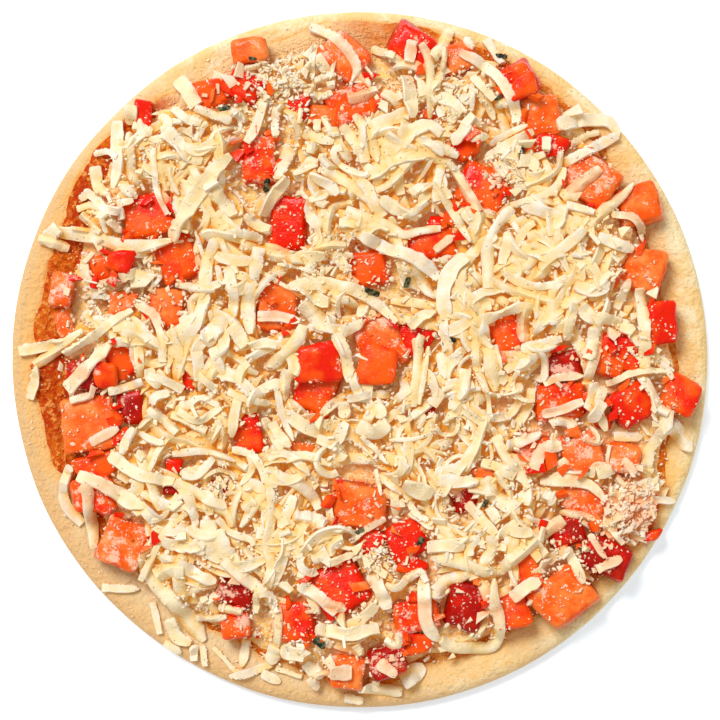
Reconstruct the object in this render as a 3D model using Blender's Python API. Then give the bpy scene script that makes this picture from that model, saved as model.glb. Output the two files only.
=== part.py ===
"""An unbaked margherita pizza: a pressed round of dough, a skin of tomato sauce, a heap of grated
mozzarella and diced tomato set into it. Metres, +Z up, origin under the middle of the dough."""

import math
import random

import bmesh
import bpy
from mathutils import Euler, Matrix, Vector, geometry, noise
from mathutils.bvhtree import BVHTree

MM = 0.001

# The dough, a flat round with a low, soft rim
PIZZA_DIAMETER = 280 * MM
PIZZA_RADIUS = PIZZA_DIAMETER / 2
DOUGH_THICKNESS = 7 * MM
RIM_RISE = 1.3 * MM
RIM_CREST_INSET = 7 * MM
RIM_WIDTH = 20 * MM
EDGE_ROUND = 4 * MM
DIRECTIONS = 64

# What lies on the dough
SAUCE_THICKNESS = 1.2 * MM
CLEARANCE = 0.35 * MM
BED_THICKNESS = 1.0 * MM

# Bare dough outside the sauce, and sauce outside the cheese, every 15 degrees from +X towards +Y
BARE_DOUGH = (13, 16, 16, 8, 6, 5, 3, 7, 11, 3, 6, 8, 8, 10, 14, 16, 16, 14, 8, 14, 15, 11, 5, 10)
BARE_SAUCE = (3, 3, 3, 4, 3, 6, 15, 9, 3, 8, 10, 12, 14, 13, 6, 3, 3, 3, 4, 4, 4, 4, 4, 3)

# The plan that places the toppings: its middle, and the size of one step. Its y runs towards -Y.
PLAN_CENTRE = 360
PLAN_STEP = PIZZA_DIAMETER / 695

# The grated mozzarella: a heap, and the shreds on it
HEAP_LOW = 5.6 * MM
HEAP_TAPER = 18 * MM
HEAP_LATTICE = 12 * MM
HEAP_ROUGHNESS = 1.4 * MM
SHRED_WIDTH = 4.0 * MM
SHRED_THICKNESS = 2.4 * MM
SHRED_SINK = 0.5 * MM
SHRED_COUNT = 70
SHRED_SPACING = 9 * MM

# Clumps of the heap on the plan: x, y, radius and rise in millimetres
CLUMPS = (
    (190, 150, 70, 3.4),
    (300, 110, 45, 2.6),
    (400, 180, 75, 3.6),
    (545, 130, 45, 2.6),
    (565, 250, 80, 4.0),
    (330, 285, 60, 2.4),
    (200, 330, 50, 2.6),
    (180, 440, 60, 3.2),
    (440, 425, 85, 4.2),
    (255, 520, 70, 3.4),
    (165, 600, 45, 2.6),
    (490, 550, 55, 3.2),
    (635, 500, 40, 3.6),
    (330, 650, 50, 2.0),
    (80, 300, 40, 1.6),
)

# Tomato dice on the plan: x, y, length, width, and turn in degrees
TOMATO_DICE = (
    (247, 54, 34, 26, 10),
    (243, 85, 32, 28, -20),
    (214, 96, 34, 28, 15),
    (150, 218, 50, 40, 12),
    (415, 36, 42, 34, -30),
    (344, 60, 44, 38, -40),
    (350, 104, 46, 32, 20),
    (260, 163, 34, 46, 8),
    (290, 225, 34, 52, -6),
    (459, 61, 32, 28, 25),
    (464, 152, 24, 22, 35),
    (482, 189, 44, 40, -22),
    (430, 246, 46, 30, 10),
    (527, 74, 36, 34, 28),
    (537, 114, 36, 40, 12),
    (590, 183, 54, 42, -35),
    (643, 201, 40, 40, 15),
    (641, 270, 40, 38, -10),
    (657, 323, 28, 42, 2),
    (506, 335, 32, 34, 15),
    (610, 355, 32, 40, -14),
    (630, 403, 38, 36, 32),
    (680, 395, 34, 34, -28),
    (562, 366, 38, 26, 8),
    (558, 402, 46, 36, 6),
    (533, 448, 34, 28, -12),
    (579, 452, 38, 34, 25),
    (622, 458, 32, 28, -8),
    (463, 497, 26, 24, 20),
    (582, 500, 46, 30, -18),
    (571, 531, 32, 28, 14),
    (598, 553, 46, 36, -24),
    (554, 597, 54, 48, 38),
    (514, 606, 36, 34, 16),
    (467, 603, 38, 44, -14),
    (362, 505, 50, 44, -8),
    (404, 538, 38, 36, 20),
    (341, 584, 48, 48, 32),
    (297, 621, 36, 38, 6),
    (419, 612, 44, 34, 12),
    (347, 670, 34, 34, -6),
    (387, 660, 34, 32, 18),
    (237, 588, 34, 30, -16),
    (236, 624, 30, 26, 10),
    (124, 543, 42, 46, -24),
    (96, 494, 44, 32, 8),
    (64, 290, 22, 34, -10),
    (112, 267, 38, 26, 16),
    (180, 262, 40, 42, 24),
    (168, 306, 36, 38, -6),
    (122, 362, 26, 34, 24),
    (88, 378, 38, 30, -12),
    (93, 421, 52, 54, 8),
    (369, 270, 36, 34, 14),
    (277, 308, 38, 46, -12),
    (380, 343, 44, 50, 18),
    (319, 384, 40, 52, -20),
)
DICE_HEIGHT = (7.8 * MM, 9.8 * MM)
DICE_CUT = 1.3 * MM
DICE_UNEVEN = 0.07
DICE_TILT = math.radians(7)
DICE_INSET = 2.5 * MM

# Small bits of tomato and flakes of basil that are stuck to the cheese: x, y, size, turn
TOMATO_BITS = (
    (146, 116, 18, 20),
    (432, 115, 16, -15),
    (326, 124, 22, 30),
    (134, 406, 20, 10),
    (250, 436, 24, -25),
    (304, 452, 16, 5),
    (415, 566, 20, 15),
    (415, 338, 20, -20),
    (174, 464, 14, 40),
)
BASIL_FLAKES = (
    (366, 293, 16, -20),
    (518, 160, 14, 70),
    (268, 186, 12, 80),
    (322, 640, 15, -40),
    (447, 344, 15, 20),
    (408, 284, 12, 60),
    (232, 274, 13, 30),
    (515, 97, 12, -60),
)
BIT_HEIGHT = 3.0 * MM
FLAKE_THICKNESS = 0.7 * MM

# Long shreds that lie on top: start x, y, end x, y, bow sideways, width in millimetres
TOP_SHREDS = (
    (172, 240, 231, 163, 2, 4.6),
    (62, 226, 184, 240, 14, 4.0),
    (178, 74, 236, 124, -10, 3.8),
    (315, 32, 355, 82, -8, 4.0),
    (404, 74, 412, 118, 2, 4.6),
    (424, 62, 430, 120, -5, 3.8),
    (322, 168, 385, 220, 3, 4.4),
    (345, 172, 338, 148, 12, 3.2),
    (405, 160, 470, 215, -16, 4.2),
    (342, 212, 440, 226, 5, 3.6),
    (552, 128, 606, 120, -8, 5.0),
    (560, 168, 618, 138, -4, 4.2),
    (484, 156, 528, 112, 3, 4.6),
    (490, 62, 510, 112, -6, 3.8),
    (596, 232, 630, 188, 1, 3.8),
    (503, 205, 580, 232, -2, 4.4),
    (246, 232, 247, 332, 4, 4.4),
    (258, 320, 300, 322, 0, 3.8),
    (291, 286, 396, 326, -12, 4.2),
    (358, 242, 436, 276, 3, 4.4),
    (441, 322, 462, 262, 8, 3.8),
    (22, 352, 80, 348, 4, 4.6),
    (52, 348, 118, 318, 0, 3.8),
    (108, 340, 168, 312, -3, 3.6),
    (36, 398, 34, 366, 2, 4.0),
    (110, 384, 140, 344, 4, 4.6),
    (150, 330, 142, 376, 8, 3.8),
    (66, 470, 92, 520, -14, 5.0),
    (86, 482, 172, 512, 3, 5.0),
    (148, 414, 230, 446, 4, 4.2),
    (210, 300, 190, 388, -6, 3.6),
    (482, 320, 524, 304, -2, 4.2),
    (636, 290, 642, 370, 0, 4.4),
    (588, 378, 628, 386, -6, 2.8),
    (541, 416, 582, 404, 2, 3.8),
    (590, 386, 592, 412, 2, 3.6),
    (676, 452, 690, 452, 3, 3.6),
    (450, 560, 566, 522, -6, 4.6),
    (433, 578, 438, 636, -8, 4.2),
    (440, 642, 500, 600, 26, 4.2),
    (545, 488, 604, 500, -10, 4.2),
    (376, 575, 388, 604, 2, 4.2),
    (318, 630, 378, 628, 0, 4.0),
    (278, 560, 278, 650, -10, 3.6),
    (155, 560, 206, 640, 4, 5.2),
    (220, 545, 262, 520, 10, 3.4),
    (402, 392, 414, 352, 2, 3.4),
    (420, 480, 470, 500, 6, 3.4),
    (380, 190, 420, 160, -8, 3.2),
    (300, 200, 345, 206, -9, 3.2),
)


def plan(x, y):
    """A point of the toppings' plan, in metres from the middle of the pizza."""
    return Vector(((x - PLAN_CENTRE) * PLAN_STEP, (PLAN_CENTRE - y) * PLAN_STEP))


def by_direction(table, angle):
    """A value from a table of evenly spaced directions, eased between its entries."""
    place = (angle / math.tau) % 1 * len(table)
    low = int(place) % len(table)
    share = place - int(place)
    share = share * share * (3 - 2 * share)
    return table[low] * (1 - share) + table[(low + 1) % len(table)] * share


def sauce_radius(angle):
    return PIZZA_RADIUS - by_direction(BARE_DOUGH, angle) * MM


def cheese_radius(angle):
    return sauce_radius(angle) - by_direction(BARE_SAUCE, angle) * MM


def dough_top(radius, angle):
    """Height of the dough: flat in the middle, with a low crest near the edge that isn't quite even."""
    inset = PIZZA_RADIUS - radius
    if inset >= RIM_WIDTH:
        return DOUGH_THICKNESS
    share = (inset - RIM_CREST_INSET) / (RIM_WIDTH - RIM_CREST_INSET)
    uneven = 1 + 0.12 * math.sin(3 * angle + 0.7) + 0.08 * math.sin(7 * angle)
    return DOUGH_THICKNESS + RIM_RISE * uneven * math.cos(share * math.pi / 2) ** 2


def sauce_top(radius, angle):
    return dough_top(radius, angle) + CLEARANCE + SAUCE_THICKNESS


def cheese_floor(radius, angle):
    return sauce_top(radius, angle) + CLEARANCE


def polar(point):
    return point.to_2d().length, math.atan2(point[1], point[0])


def make_material(name, colour, roughness):
    material = bpy.data.materials.new(name)
    material.use_nodes = True
    shader = material.node_tree.nodes["Principled BSDF"]
    shader.inputs["Base Color"].default_value = (*colour, 1)
    shader.inputs["Roughness"].default_value = roughness
    shader.inputs["Metallic"].default_value = 0
    return material


def add_object(name, bm, material, collection=None):
    """Links the mesh as an object with its faces outwards."""
    bmesh.ops.recalc_face_normals(bm, faces=bm.faces)
    mesh = bpy.data.meshes.new(name)
    bm.to_mesh(mesh)
    bm.free()
    made = bpy.data.objects.new(name, mesh)
    mesh.materials.append(material)
    (collection or bpy.context.scene.collection).objects.link(made)
    return made


def ringed_solid(name, rings, material):
    """A closed solid through rings of points round +Z, capped on the first and the last.
    Each ring is a function that gives its radius and height for a direction."""
    bm = bmesh.new()
    loops = []
    for ring in rings:
        verts = []
        for step in range(DIRECTIONS):
            angle = math.tau * step / DIRECTIONS
            radius, height = ring(angle)
            verts.append(bm.verts.new((radius * math.cos(angle), radius * math.sin(angle), height)))
        loops.append([bm.edges.new((verts[i - 1], verts[i])) for i in range(DIRECTIONS)])
        if ring in (rings[0], rings[-1]):
            bm.faces.new(verts)
    for inner, outer in zip(loops, loops[1:]):
        bmesh.ops.bridge_loops(bm, edges=inner + outer)
    made = add_object(name, bm, material)
    made.data.shade_smooth()
    made.data.set_sharp_from_angle(angle=math.radians(40))
    return made


def make_dough(material):
    """Well, crest, round edge and flat underside, from the middle of the top outwards."""

    def top_ring(inset):
        return lambda angle: (PIZZA_RADIUS - inset, dough_top(PIZZA_RADIUS - inset, angle))

    def edge_ring(turn):
        def ring(angle):
            crown = dough_top(PIZZA_RADIUS - EDGE_ROUND, angle)
            out = EDGE_ROUND * math.cos(turn)
            return PIZZA_RADIUS - EDGE_ROUND + out, crown / 2 * (1 + math.sin(turn))

        return ring

    top = [top_ring(inset * MM) for inset in (20, 15, 11, 7)]
    edge = [edge_ring(math.radians(turn)) for turn in (90, 45, 0, -45, -90)]
    return ringed_solid("dough_base", top + edge, material)


def make_sauce(material):
    """A skin of even thickness that follows the dough and thins out at its uneven edge."""

    def ring(inset, share):
        def found(angle):
            radius = sauce_radius(angle) - inset
            low = dough_top(radius, angle) + CLEARANCE
            return radius, low + SAUCE_THICKNESS * share

        return found

    flat = PIZZA_RADIUS - RIM_WIDTH

    def middle(share):
        def found(angle):
            radius = min(flat, sauce_radius(angle) - 9 * MM)
            return radius, dough_top(radius, angle) + CLEARANCE + SAUCE_THICKNESS * share

        return found

    top = [middle(1), ring(4 * MM, 1), ring(0, 0.6)]
    under = [ring(0.4 * MM, 0), ring(4 * MM, 0), middle(0)]
    return ringed_solid("tomato_sauce", top + under, material)


def die_mesh(place, size, turn, rng):
    """A diced piece of tomato as a bmesh: a box with uneven corners, its edges cut back, tilted a little."""
    bm = bmesh.new()
    bmesh.ops.create_cube(bm, size=1)
    for vert in bm.verts:
        vert.co = Vector(s * c * (1 + rng.uniform(-1, 1) * DICE_UNEVEN * 2) for s, c in zip(size, vert.co))
    bmesh.ops.bevel(bm, geom=bm.edges[:], offset=DICE_CUT, segments=1, affect="EDGES")
    bmesh.ops.triangulate(bm, faces=bm.faces)
    tilt = Euler((rng.uniform(-1, 1) * DICE_TILT, rng.uniform(-1, 1) * DICE_TILT, turn))
    bm.transform(Matrix.Translation(place.to_3d()) @ tilt.to_matrix().to_4x4())
    return bm


def outline_of(points, grow=0.0):
    """The convex outline of points seen from above, grown outwards."""
    flat = [Vector(p[:2]) for p in points]
    hull = [flat[i] for i in geometry.convex_hull_2d(flat)]
    if sum(a.cross(b) for a, b in zip(hull, hull[1:] + hull[:1])) < 0:
        hull.reverse()
    middle = sum(hull, Vector((0, 0))) / len(hull)
    return [p + (p - middle).normalized() * grow for p in hull]


def overlap_depth(first, second):
    """How far two convex outlines reach into each other, and the direction that parts them soonest."""
    best = (math.inf, None)
    for outline in (first, second):
        for a, b in zip(outline, outline[1:] + outline[:1]):
            out = Vector((b.y - a.y, a.x - b.x)).normalized()
            reach = max(p.dot(out) for p in first) - min(p.dot(out) for p in second)
            back = max(p.dot(out) for p in second) - min(p.dot(out) for p in first)
            best = min(best, (reach, -out), (back, out), key=lambda found: found[0])
            if best[0] <= 0:
                return best
    return best


def part_dice(dice):
    """Slides dice that touch apart, and those over the edge inwards, a little at a time, until all are clear."""
    for _ in range(80):
        moved = False
        for i, (first, _) in enumerate(dice):
            furthest = max((v.co for v in first.verts), key=lambda co: co.to_2d().length).to_2d()
            over = furthest.length - (PIZZA_RADIUS - DICE_INSET)
            if over > 0:
                inwards = (-furthest.normalized() * (over + 0.05 * MM)).to_3d()
                bmesh.ops.translate(first, verts=first.verts, vec=inwards)
                moved = True
            for second, _ in dice[i + 1 :]:
                depth, way = overlap_depth(outline_of([v.co for v in first.verts], CLEARANCE),
                                           outline_of([v.co for v in second.verts], CLEARANCE))
                if depth <= 0:
                    continue
                shift = (way * (depth / 2 + 0.05 * MM)).to_3d()
                bmesh.ops.translate(first, verts=first.verts, vec=shift)
                bmesh.ops.translate(second, verts=second.verts, vec=-shift)
                moved = True
        if not moved:
            return


def boxed(outline, grow):
    """The smallest rectangle round a convex outline, grown on each side."""
    best = None
    for a, b in zip(outline, outline[1:] + outline[:1]):
        along = (b - a).normalized()
        across = Vector((-along.y, along.x))
        reach = [p.dot(along) for p in outline]
        width = [p.dot(across) for p in outline]
        low, high = Vector((min(reach), min(width))), Vector((max(reach), max(width)))
        area = (high.x - low.x) * (high.y - low.y)
        if best is None or area < best[0]:
            sides = ((low.x - grow, low.y - grow), (high.x + grow, low.y - grow),
                     (high.x + grow, high.y + grow), (low.x - grow, high.y + grow))
            best = (area, [along * u + across * v for u, v in sides])
    return best[1]


def set_down(bm):
    """Lowers a die until it stands just clear of the cheese bed, the sauce or the dough."""
    rest = 0.0
    outline = outline_of([v.co for v in bm.verts])
    middle = sum(outline, Vector((0, 0))) / len(outline)
    for spot in [middle.lerp(p, share) for p in outline for share in (0, 0.4, 0.8, 1.1)]:
        radius, angle = polar(spot)
        if radius < cheese_radius(angle) + CLEARANCE:
            under = cheese_floor(radius, angle) + BED_THICKNESS
        elif radius < sauce_radius(angle) + CLEARANCE:
            under = sauce_top(radius, angle)
        else:
            under = dough_top(radius, angle)
        rest = max(rest, under + CLEARANCE)
    lowest = min(v.co.z for v in bm.verts)
    bmesh.ops.translate(bm, verts=bm.verts, vec=(0, 0, rest - lowest))


def make_tomatoes(material):
    """The dice, each its own object, and their meshes' outlines for the pockets in the cheese."""
    rng = random.Random(11)
    dice = []
    for number, (x, y, length, width, turn) in enumerate(TOMATO_DICE, 1):
        size = (length * PLAN_STEP, width * PLAN_STEP, rng.uniform(*DICE_HEIGHT))
        dice.append((die_mesh(plan(x, y), size, math.radians(turn), rng), f"tomato_die_{number:02d}"))
    part_dice(dice)
    made = []
    for bm, name in dice:
        set_down(bm)
        made.append(add_object(name, bm, material))
    return made


def heap_top(point):
    """Height of the cheese heap, without its shreds: a low layer with clumps, thinner towards its edge."""
    radius, angle = polar(point)
    rise = HEAP_LOW
    for x, y, reach, height in CLUMPS:
        away = (point - plan(x, y)).length / (reach * PLAN_STEP)
        rise += height * MM * math.exp(-away * away)
    rise += HEAP_ROUGHNESS * noise.noise(Vector((point.x, point.y, 0)) / (14 * MM))
    edge = min(1, max(0, (cheese_radius(angle) - radius) / HEAP_TAPER))
    return cheese_floor(radius, angle) + max(BED_THICKNESS * 1.8, rise * (0.6 + 0.4 * edge))


def heap_levels(pockets):
    """The heap's plan cut into triangles, with the kind of ground in each: the heap, or a die's pocket."""
    edge = []
    for step in range(DIRECTIONS):
        angle = math.tau * step / DIRECTIONS
        edge.append(cheese_radius(angle) * Vector((math.cos(angle), math.sin(angle))))
    points, faces = list(edge), [list(range(DIRECTIONS))]
    for pocket in pockets:
        faces.append(list(range(len(points), len(points) + len(pocket))))
        points += pocket
    rng = random.Random(5)
    rows = int(PIZZA_RADIUS / HEAP_LATTICE / 0.866) + 1
    for row in range(-rows, rows + 1):
        for column in range(-rows, rows + 1):
            spot = Vector((column + row % 2 / 2, row * 0.866)) * HEAP_LATTICE
            spot += Vector((rng.uniform(-1, 1), rng.uniform(-1, 1))) * HEAP_LATTICE * 0.18
            radius, angle = polar(spot)
            if radius < cheese_radius(angle) - HEAP_LATTICE * 0.55 and clear_of(spot, pockets):
                points.append(spot)
    found = geometry.delaunay_2d_cdt(points, [], faces, 1, 1e-6, True)
    verts, triangles, owners = found[0], found[2], found[5]
    kinds = ["pocket" if any(owner > 0 for owner in owned) else "heap" for owned in owners]
    kept = [(t, k) for t, k, owned in zip(triangles, kinds, owners) if 0 in owned]
    return verts, kept


def clear_of(spot, pockets):
    """Whether a lattice point is well outside every pocket."""
    for pocket in pockets:
        edges = zip(pocket, pocket[1:] + pocket[:1])
        if all((b - a).normalized().cross(spot - a) > -HEAP_LATTICE * 0.3 for a, b in edges):
            return False
    return True


def make_heap(material, dice):
    """The bare heap: a lumpy top with a flat-floored pocket for each die, walls between, and an underside
    that follows the sauce."""
    pockets = [boxed(outline_of([v.co for v in die.data.vertices]), 1.2 * CLEARANCE) for die in dice]
    plan_points, triangles = heap_levels(pockets)
    levels = {"heap": heap_top, "pocket": lambda p: cheese_floor(*polar(p)) + BED_THICKNESS,
              "floor": lambda p: cheese_floor(*polar(p))}
    order = ("heap", "pocket", "floor")
    bm = bmesh.new()
    made = {}

    def vert(index, kind):
        if (index, kind) not in made:
            point = Vector(plan_points[index])
            made[index, kind] = bm.verts.new((point.x, point.y, levels[kind](point)))
        return made[index, kind]

    sides, kinds_at = {}, {}
    for triangle, kind in triangles:
        bm.faces.new([vert(i, kind) for i in triangle])
        for a, b in zip(triangle, triangle[1:] + triangle[:1]):
            sides.setdefault(frozenset((a, b)), []).append(kind)
            kinds_at.setdefault(a, set()).add(kind)
    rim = {}
    for (a, b), kinds in ((tuple(side), kinds) for side, kinds in sides.items()):
        upper, lower = sorted(kinds + ["floor"] * (2 - len(kinds)), key=order.index)
        if upper == lower:
            continue
        if len(kinds) == 1:
            rim.setdefault(a, []).append(b)
            rim.setdefault(b, []).append(a)
        between = order[order.index(upper) + 1 : order.index(lower)]
        down = [upper, *(k for k in between if k in kinds_at[b]), lower]
        up = [lower, *(k for k in reversed(between) if k in kinds_at[a]), upper]
        bm.faces.new([vert(b, k) for k in down] + [vert(a, k) for k in up])
    close_underside(bm, rim, plan_points, vert)
    return add_object("grated_mozzarella", bm, material)


def close_underside(bm, rim, plan_points, vert):
    """Closes the heap below its rim: a sloping band as far as the flat middle, and a flat cap."""
    loop, last = [next(iter(rim))], None
    while len(loop) < len(rim):
        ahead = next(i for i in rim[loop[-1]] if i != last)
        last = loop[-1]
        loop.append(ahead)
    outer = [vert(i, "floor") for i in loop]
    inner = []
    for i in loop:
        radius, angle = polar(Vector(plan_points[i]))
        radius = min(radius - 2 * MM, PIZZA_RADIUS - RIM_WIDTH)
        height = cheese_floor(radius, angle)
        inner.append(bm.verts.new((radius * math.cos(angle), radius * math.sin(angle), height)))
    for i in range(len(loop)):
        bm.faces.new((outer[i - 1], outer[i], inner[i], inner[i - 1]))
    bm.faces.new(inner)


class Ground:
    """What the shreds can lie on, found by looking straight down."""

    def __init__(self, heap, others):
        graph = bpy.context.evaluated_depsgraph_get()
        self.heap = BVHTree.FromObject(heap, graph)
        self.others = [BVHTree.FromObject(other, graph) for other in others]

    @staticmethod
    def height(tree, point):
        hit = tree.ray_cast(Vector((point[0], point[1], 1)), Vector((0, 0, -1)))[0]
        return hit.z if hit else 0.0

    def rest(self, point, reach):
        """Height for a shred's underside: sunk a little into the heap, clear of all else within its reach."""
        spots = [Vector((point[0] + dx * reach, point[1] + dy * reach))
                 for dx, dy in ((0, 0), (1, 0), (-1, 0), (0, 1), (0, -1), (0.7, 0.7), (-0.7, 0.7),
                                (0.7, -0.7), (-0.7, -0.7))]
        hard = max(self.height(tree, spot) for tree in self.others for spot in spots)
        return max(self.height(self.heap, point) - SHRED_SINK, hard + 1.5 * CLEARANCE)

    def touches(self, mesh_tree):
        return any(mesh_tree.overlap(tree) for tree in self.others)


def shred_path(start, end, bow, count):
    """Points along a bowed line on the plan."""
    across = Vector((end.y - start.y, start.x - end.x)).normalized()
    bend = (start + end) / 2 + across * bow * 2
    for i in range(count + 1):
        t = i / count
        yield start * (1 - t) ** 2 + bend * 2 * t * (1 - t) + end * t * t


def shred_mesh(ground, start, end, bow, width, roll, lift=0.0):
    """A shred as a bmesh: a flat bar with tapered ends, laid over what is under it."""
    count = max(2, round((end - start).length / (8 * MM)))
    path = list(shred_path(start, end, bow, count))
    low = [ground.rest(p, width * 0.62) + lift for p in path]
    for _ in range(3):
        low = [low[0]] + [max(low[i], (low[i - 1] + low[i + 1]) / 2) for i in range(1, count)] + [low[-1]]
    bm = bmesh.new()
    loops = []
    for i, point in enumerate(path):
        along = (path[min(i + 1, count)] - path[max(i - 1, 0)]).normalized()
        side = Vector((-along.y, along.x, 0))
        up = Vector((0, 0, 1))
        side, up = side * math.cos(roll) + up * math.sin(roll), up * math.cos(roll) - side * math.sin(roll)
        share = 0.55 if i in (0, count) else 1
        middle = Vector((point.x, point.y, low[i] + SHRED_THICKNESS / 2))
        half, tall = width / 2 * share, SHRED_THICKNESS / 2 * (0.7 + 0.3 * share)
        corners = ((-1, -1), (1, -1), (0.8, 1), (-0.8, 1))
        loops.append([bm.verts.new(middle + side * half * a + up * tall * b) for a, b in corners])
    for first, second in zip(loops, loops[1:]):
        for k in range(4):
            bm.faces.new((first[k - 1], first[k], second[k], second[k - 1]))
    bm.faces.new(loops[0])
    bm.faces.new(reversed(loops[-1]))
    bmesh.ops.recalc_face_normals(bm, faces=bm.faces)
    bmesh.ops.triangulate(bm, faces=bm.faces)
    return bm


def lay_shred(ground, collection, material, start, end, bow, width, roll):
    """Lays one shred, lifted a little if it would cross a die, or left out if that isn't enough."""
    for lift in (0, 0.5 * MM, 1.0 * MM):
        bm = shred_mesh(ground, start, end, bow, width, roll, lift)
        if not ground.touches(BVHTree.FromBMesh(bm)):
            add_object(f"shred_{len(collection.objects):03d}", bm, material, collection)
            return True
        bm.free()
    return False


def crosses(start, end, bow, pockets):
    """Whether a shred would hide a die that shows."""
    return any(not clear_of(p, pockets) for p in shred_path(start, end, bow, 8))


def lay_shreds(ground, collection, material, dice):
    """The long shreds on top, then others wherever there is room between them and the dice."""
    rng = random.Random(23)
    middles = []
    for x0, y0, x1, y1, bow, width in TOP_SHREDS:
        start, end = plan(x0, y0), plan(x1, y1)
        roll = rng.uniform(-1, 1) * math.radians(8)
        if lay_shred(ground, collection, material, start, end, bow * PLAN_STEP, width * MM, roll):
            middles += list(shred_path(start, end, bow * PLAN_STEP, 4))
    pockets = [outline_of([v.co for v in die.data.vertices]) for die in dice]
    for _ in range(6000):
        if len(collection.objects) >= len(TOP_SHREDS) + SHRED_COUNT:
            break
        angle, share = rng.uniform(0, math.tau), math.sqrt(rng.random())
        middle = cheese_radius(angle) * share * Vector((math.cos(angle), math.sin(angle)))
        turn = rng.uniform(0, math.pi)
        reach = Vector((math.cos(turn), math.sin(turn))) * rng.uniform(7, 14) * MM
        bow = rng.uniform(-1, 1) * 3.5 * MM
        start, end = middle - reach, middle + reach
        if any((middle - other).length < SHRED_SPACING for other in middles):
            continue
        if any(p.length > PIZZA_RADIUS - EDGE_ROUND for p in (start, end)) or crosses(start, end, bow, pockets):
            continue
        width = SHRED_WIDTH * rng.uniform(0.75, 1.25)
        roll = rng.uniform(-1, 1) * math.radians(14)
        if lay_shred(ground, collection, material, start, end, bow, width, roll):
            middles.append(middle)


def lay_bits(ground, collection, material):
    """Small bits of tomato and basil flakes, bedded in the cheese."""
    rng = random.Random(31)
    for x, y, size, turn in TOMATO_BITS + BASIL_FLAKES:
        flake = (x, y, size, turn) in BASIL_FLAKES
        tall = FLAKE_THICKNESS if flake else BIT_HEIGHT
        point = plan(x, y)
        low = ground.rest(point, size * PLAN_STEP / 2) - 0.3 * tall
        bm = bmesh.new()
        bmesh.ops.create_cube(bm, size=1)
        for vert in bm.verts:
            wave = rng.uniform(-0.15, 0.15)
            size_here = Vector((size * PLAN_STEP, size * PLAN_STEP * (0.5 if flake else 0.8), tall))
            vert.co = Vector(s * c * (1 + wave) for s, c in zip(size_here, vert.co))
        bm.transform(Matrix.Translation((point.x, point.y, low + tall / 2))
                     @ Matrix.Rotation(math.radians(turn), 4, "Z"))
        bmesh.ops.recalc_face_normals(bm, faces=bm.faces)
        bmesh.ops.triangulate(bm, faces=bm.faces)
        if ground.touches(BVHTree.FromBMesh(bm)):
            bm.free()
            continue
        add_object(f"bit_{len(collection.objects):03d}", bm, material, collection)


def keep_largest_body(mesh):
    """Drops loose scraps and fills sealed hollows: only the largest connected surface stays."""
    bm = bmesh.new()
    bm.from_mesh(mesh)
    left, bodies = set(bm.verts), []
    while left:
        body, edge = set(), [left.pop()]
        while edge:
            vert = edge.pop()
            body.add(vert)
            for link in vert.link_edges:
                other = link.other_vert(vert)
                if other in left:
                    left.discard(other)
                    edge.append(other)
        bodies.append(body)
    bodies.sort(key=len)
    bmesh.ops.delete(bm, geom=[v for body in bodies[:-1] for v in body], context="VERTS")
    bm.to_mesh(mesh)
    bm.free()


def fuse(heap, collection):
    """Joins everything in the collection to the heap, and removes what was joined."""
    union = heap.modifiers.new("shreds", "BOOLEAN")
    union.operation = "UNION"
    union.operand_type = "COLLECTION"
    union.collection = collection
    union.solver = "MANIFOLD"
    graph = bpy.context.evaluated_depsgraph_get()
    joined = bpy.data.meshes.new_from_object(heap.evaluated_get(graph))
    heap.modifiers.clear()
    heap.data = joined
    keep_largest_body(joined)
    for shred in list(collection.objects):
        bpy.data.objects.remove(shred)
    bpy.data.collections.remove(collection)


def main():
    for old in list(bpy.data.objects):
        bpy.data.objects.remove(old)
    dough = make_dough(make_material("raw_dough", (0.93, 0.74, 0.47), 0.7))
    sauce = make_sauce(make_material("tomato_sauce", (0.72, 0.14, 0.02), 0.35))
    dice = make_tomatoes(make_material("tomato", (0.86, 0.10, 0.02), 0.25))
    cheese = make_material("mozzarella", (0.93, 0.84, 0.62), 0.55)
    heap = make_heap(cheese, dice)
    shreds = bpy.data.collections.new("shreds")
    bpy.context.scene.collection.children.link(shreds)
    ground = Ground(heap, [dough, sauce, *dice])
    lay_shreds(ground, shreds, cheese, dice)
    lay_bits(ground, shreds, cheese)
    fuse(heap, shreds)


main()
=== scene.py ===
import math

import bmesh
import bpy
import numpy as np
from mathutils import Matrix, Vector, noise
from mathutils.bvhtree import BVHTree


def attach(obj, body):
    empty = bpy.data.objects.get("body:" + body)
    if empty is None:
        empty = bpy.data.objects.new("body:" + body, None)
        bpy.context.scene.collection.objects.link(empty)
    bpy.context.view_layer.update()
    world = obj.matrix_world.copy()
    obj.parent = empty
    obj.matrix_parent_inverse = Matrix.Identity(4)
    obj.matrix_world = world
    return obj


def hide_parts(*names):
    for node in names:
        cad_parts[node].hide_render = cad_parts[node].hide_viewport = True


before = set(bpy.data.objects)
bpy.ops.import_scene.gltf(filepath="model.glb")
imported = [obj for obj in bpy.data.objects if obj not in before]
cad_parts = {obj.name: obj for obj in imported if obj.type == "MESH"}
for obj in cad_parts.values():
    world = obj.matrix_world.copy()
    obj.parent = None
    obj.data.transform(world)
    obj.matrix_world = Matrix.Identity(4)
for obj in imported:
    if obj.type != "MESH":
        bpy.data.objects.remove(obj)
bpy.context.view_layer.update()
bpy.ops.object.select_all(action="DESELECT")
MM = 0.001

# The view. The camera looks straight down on the pizza, from far enough that it looks as wide at its top as
# at its base. A high, soft sun stands to the upper left, warm light comes from all round, and the pizza lies
# on white paper, which glows faintly so that it stays white.
PIXEL = 0.280 / 695
PICTURE_SIDE = 720
CAMERA_HEIGHT = 1.6
SENSOR = 36

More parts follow.
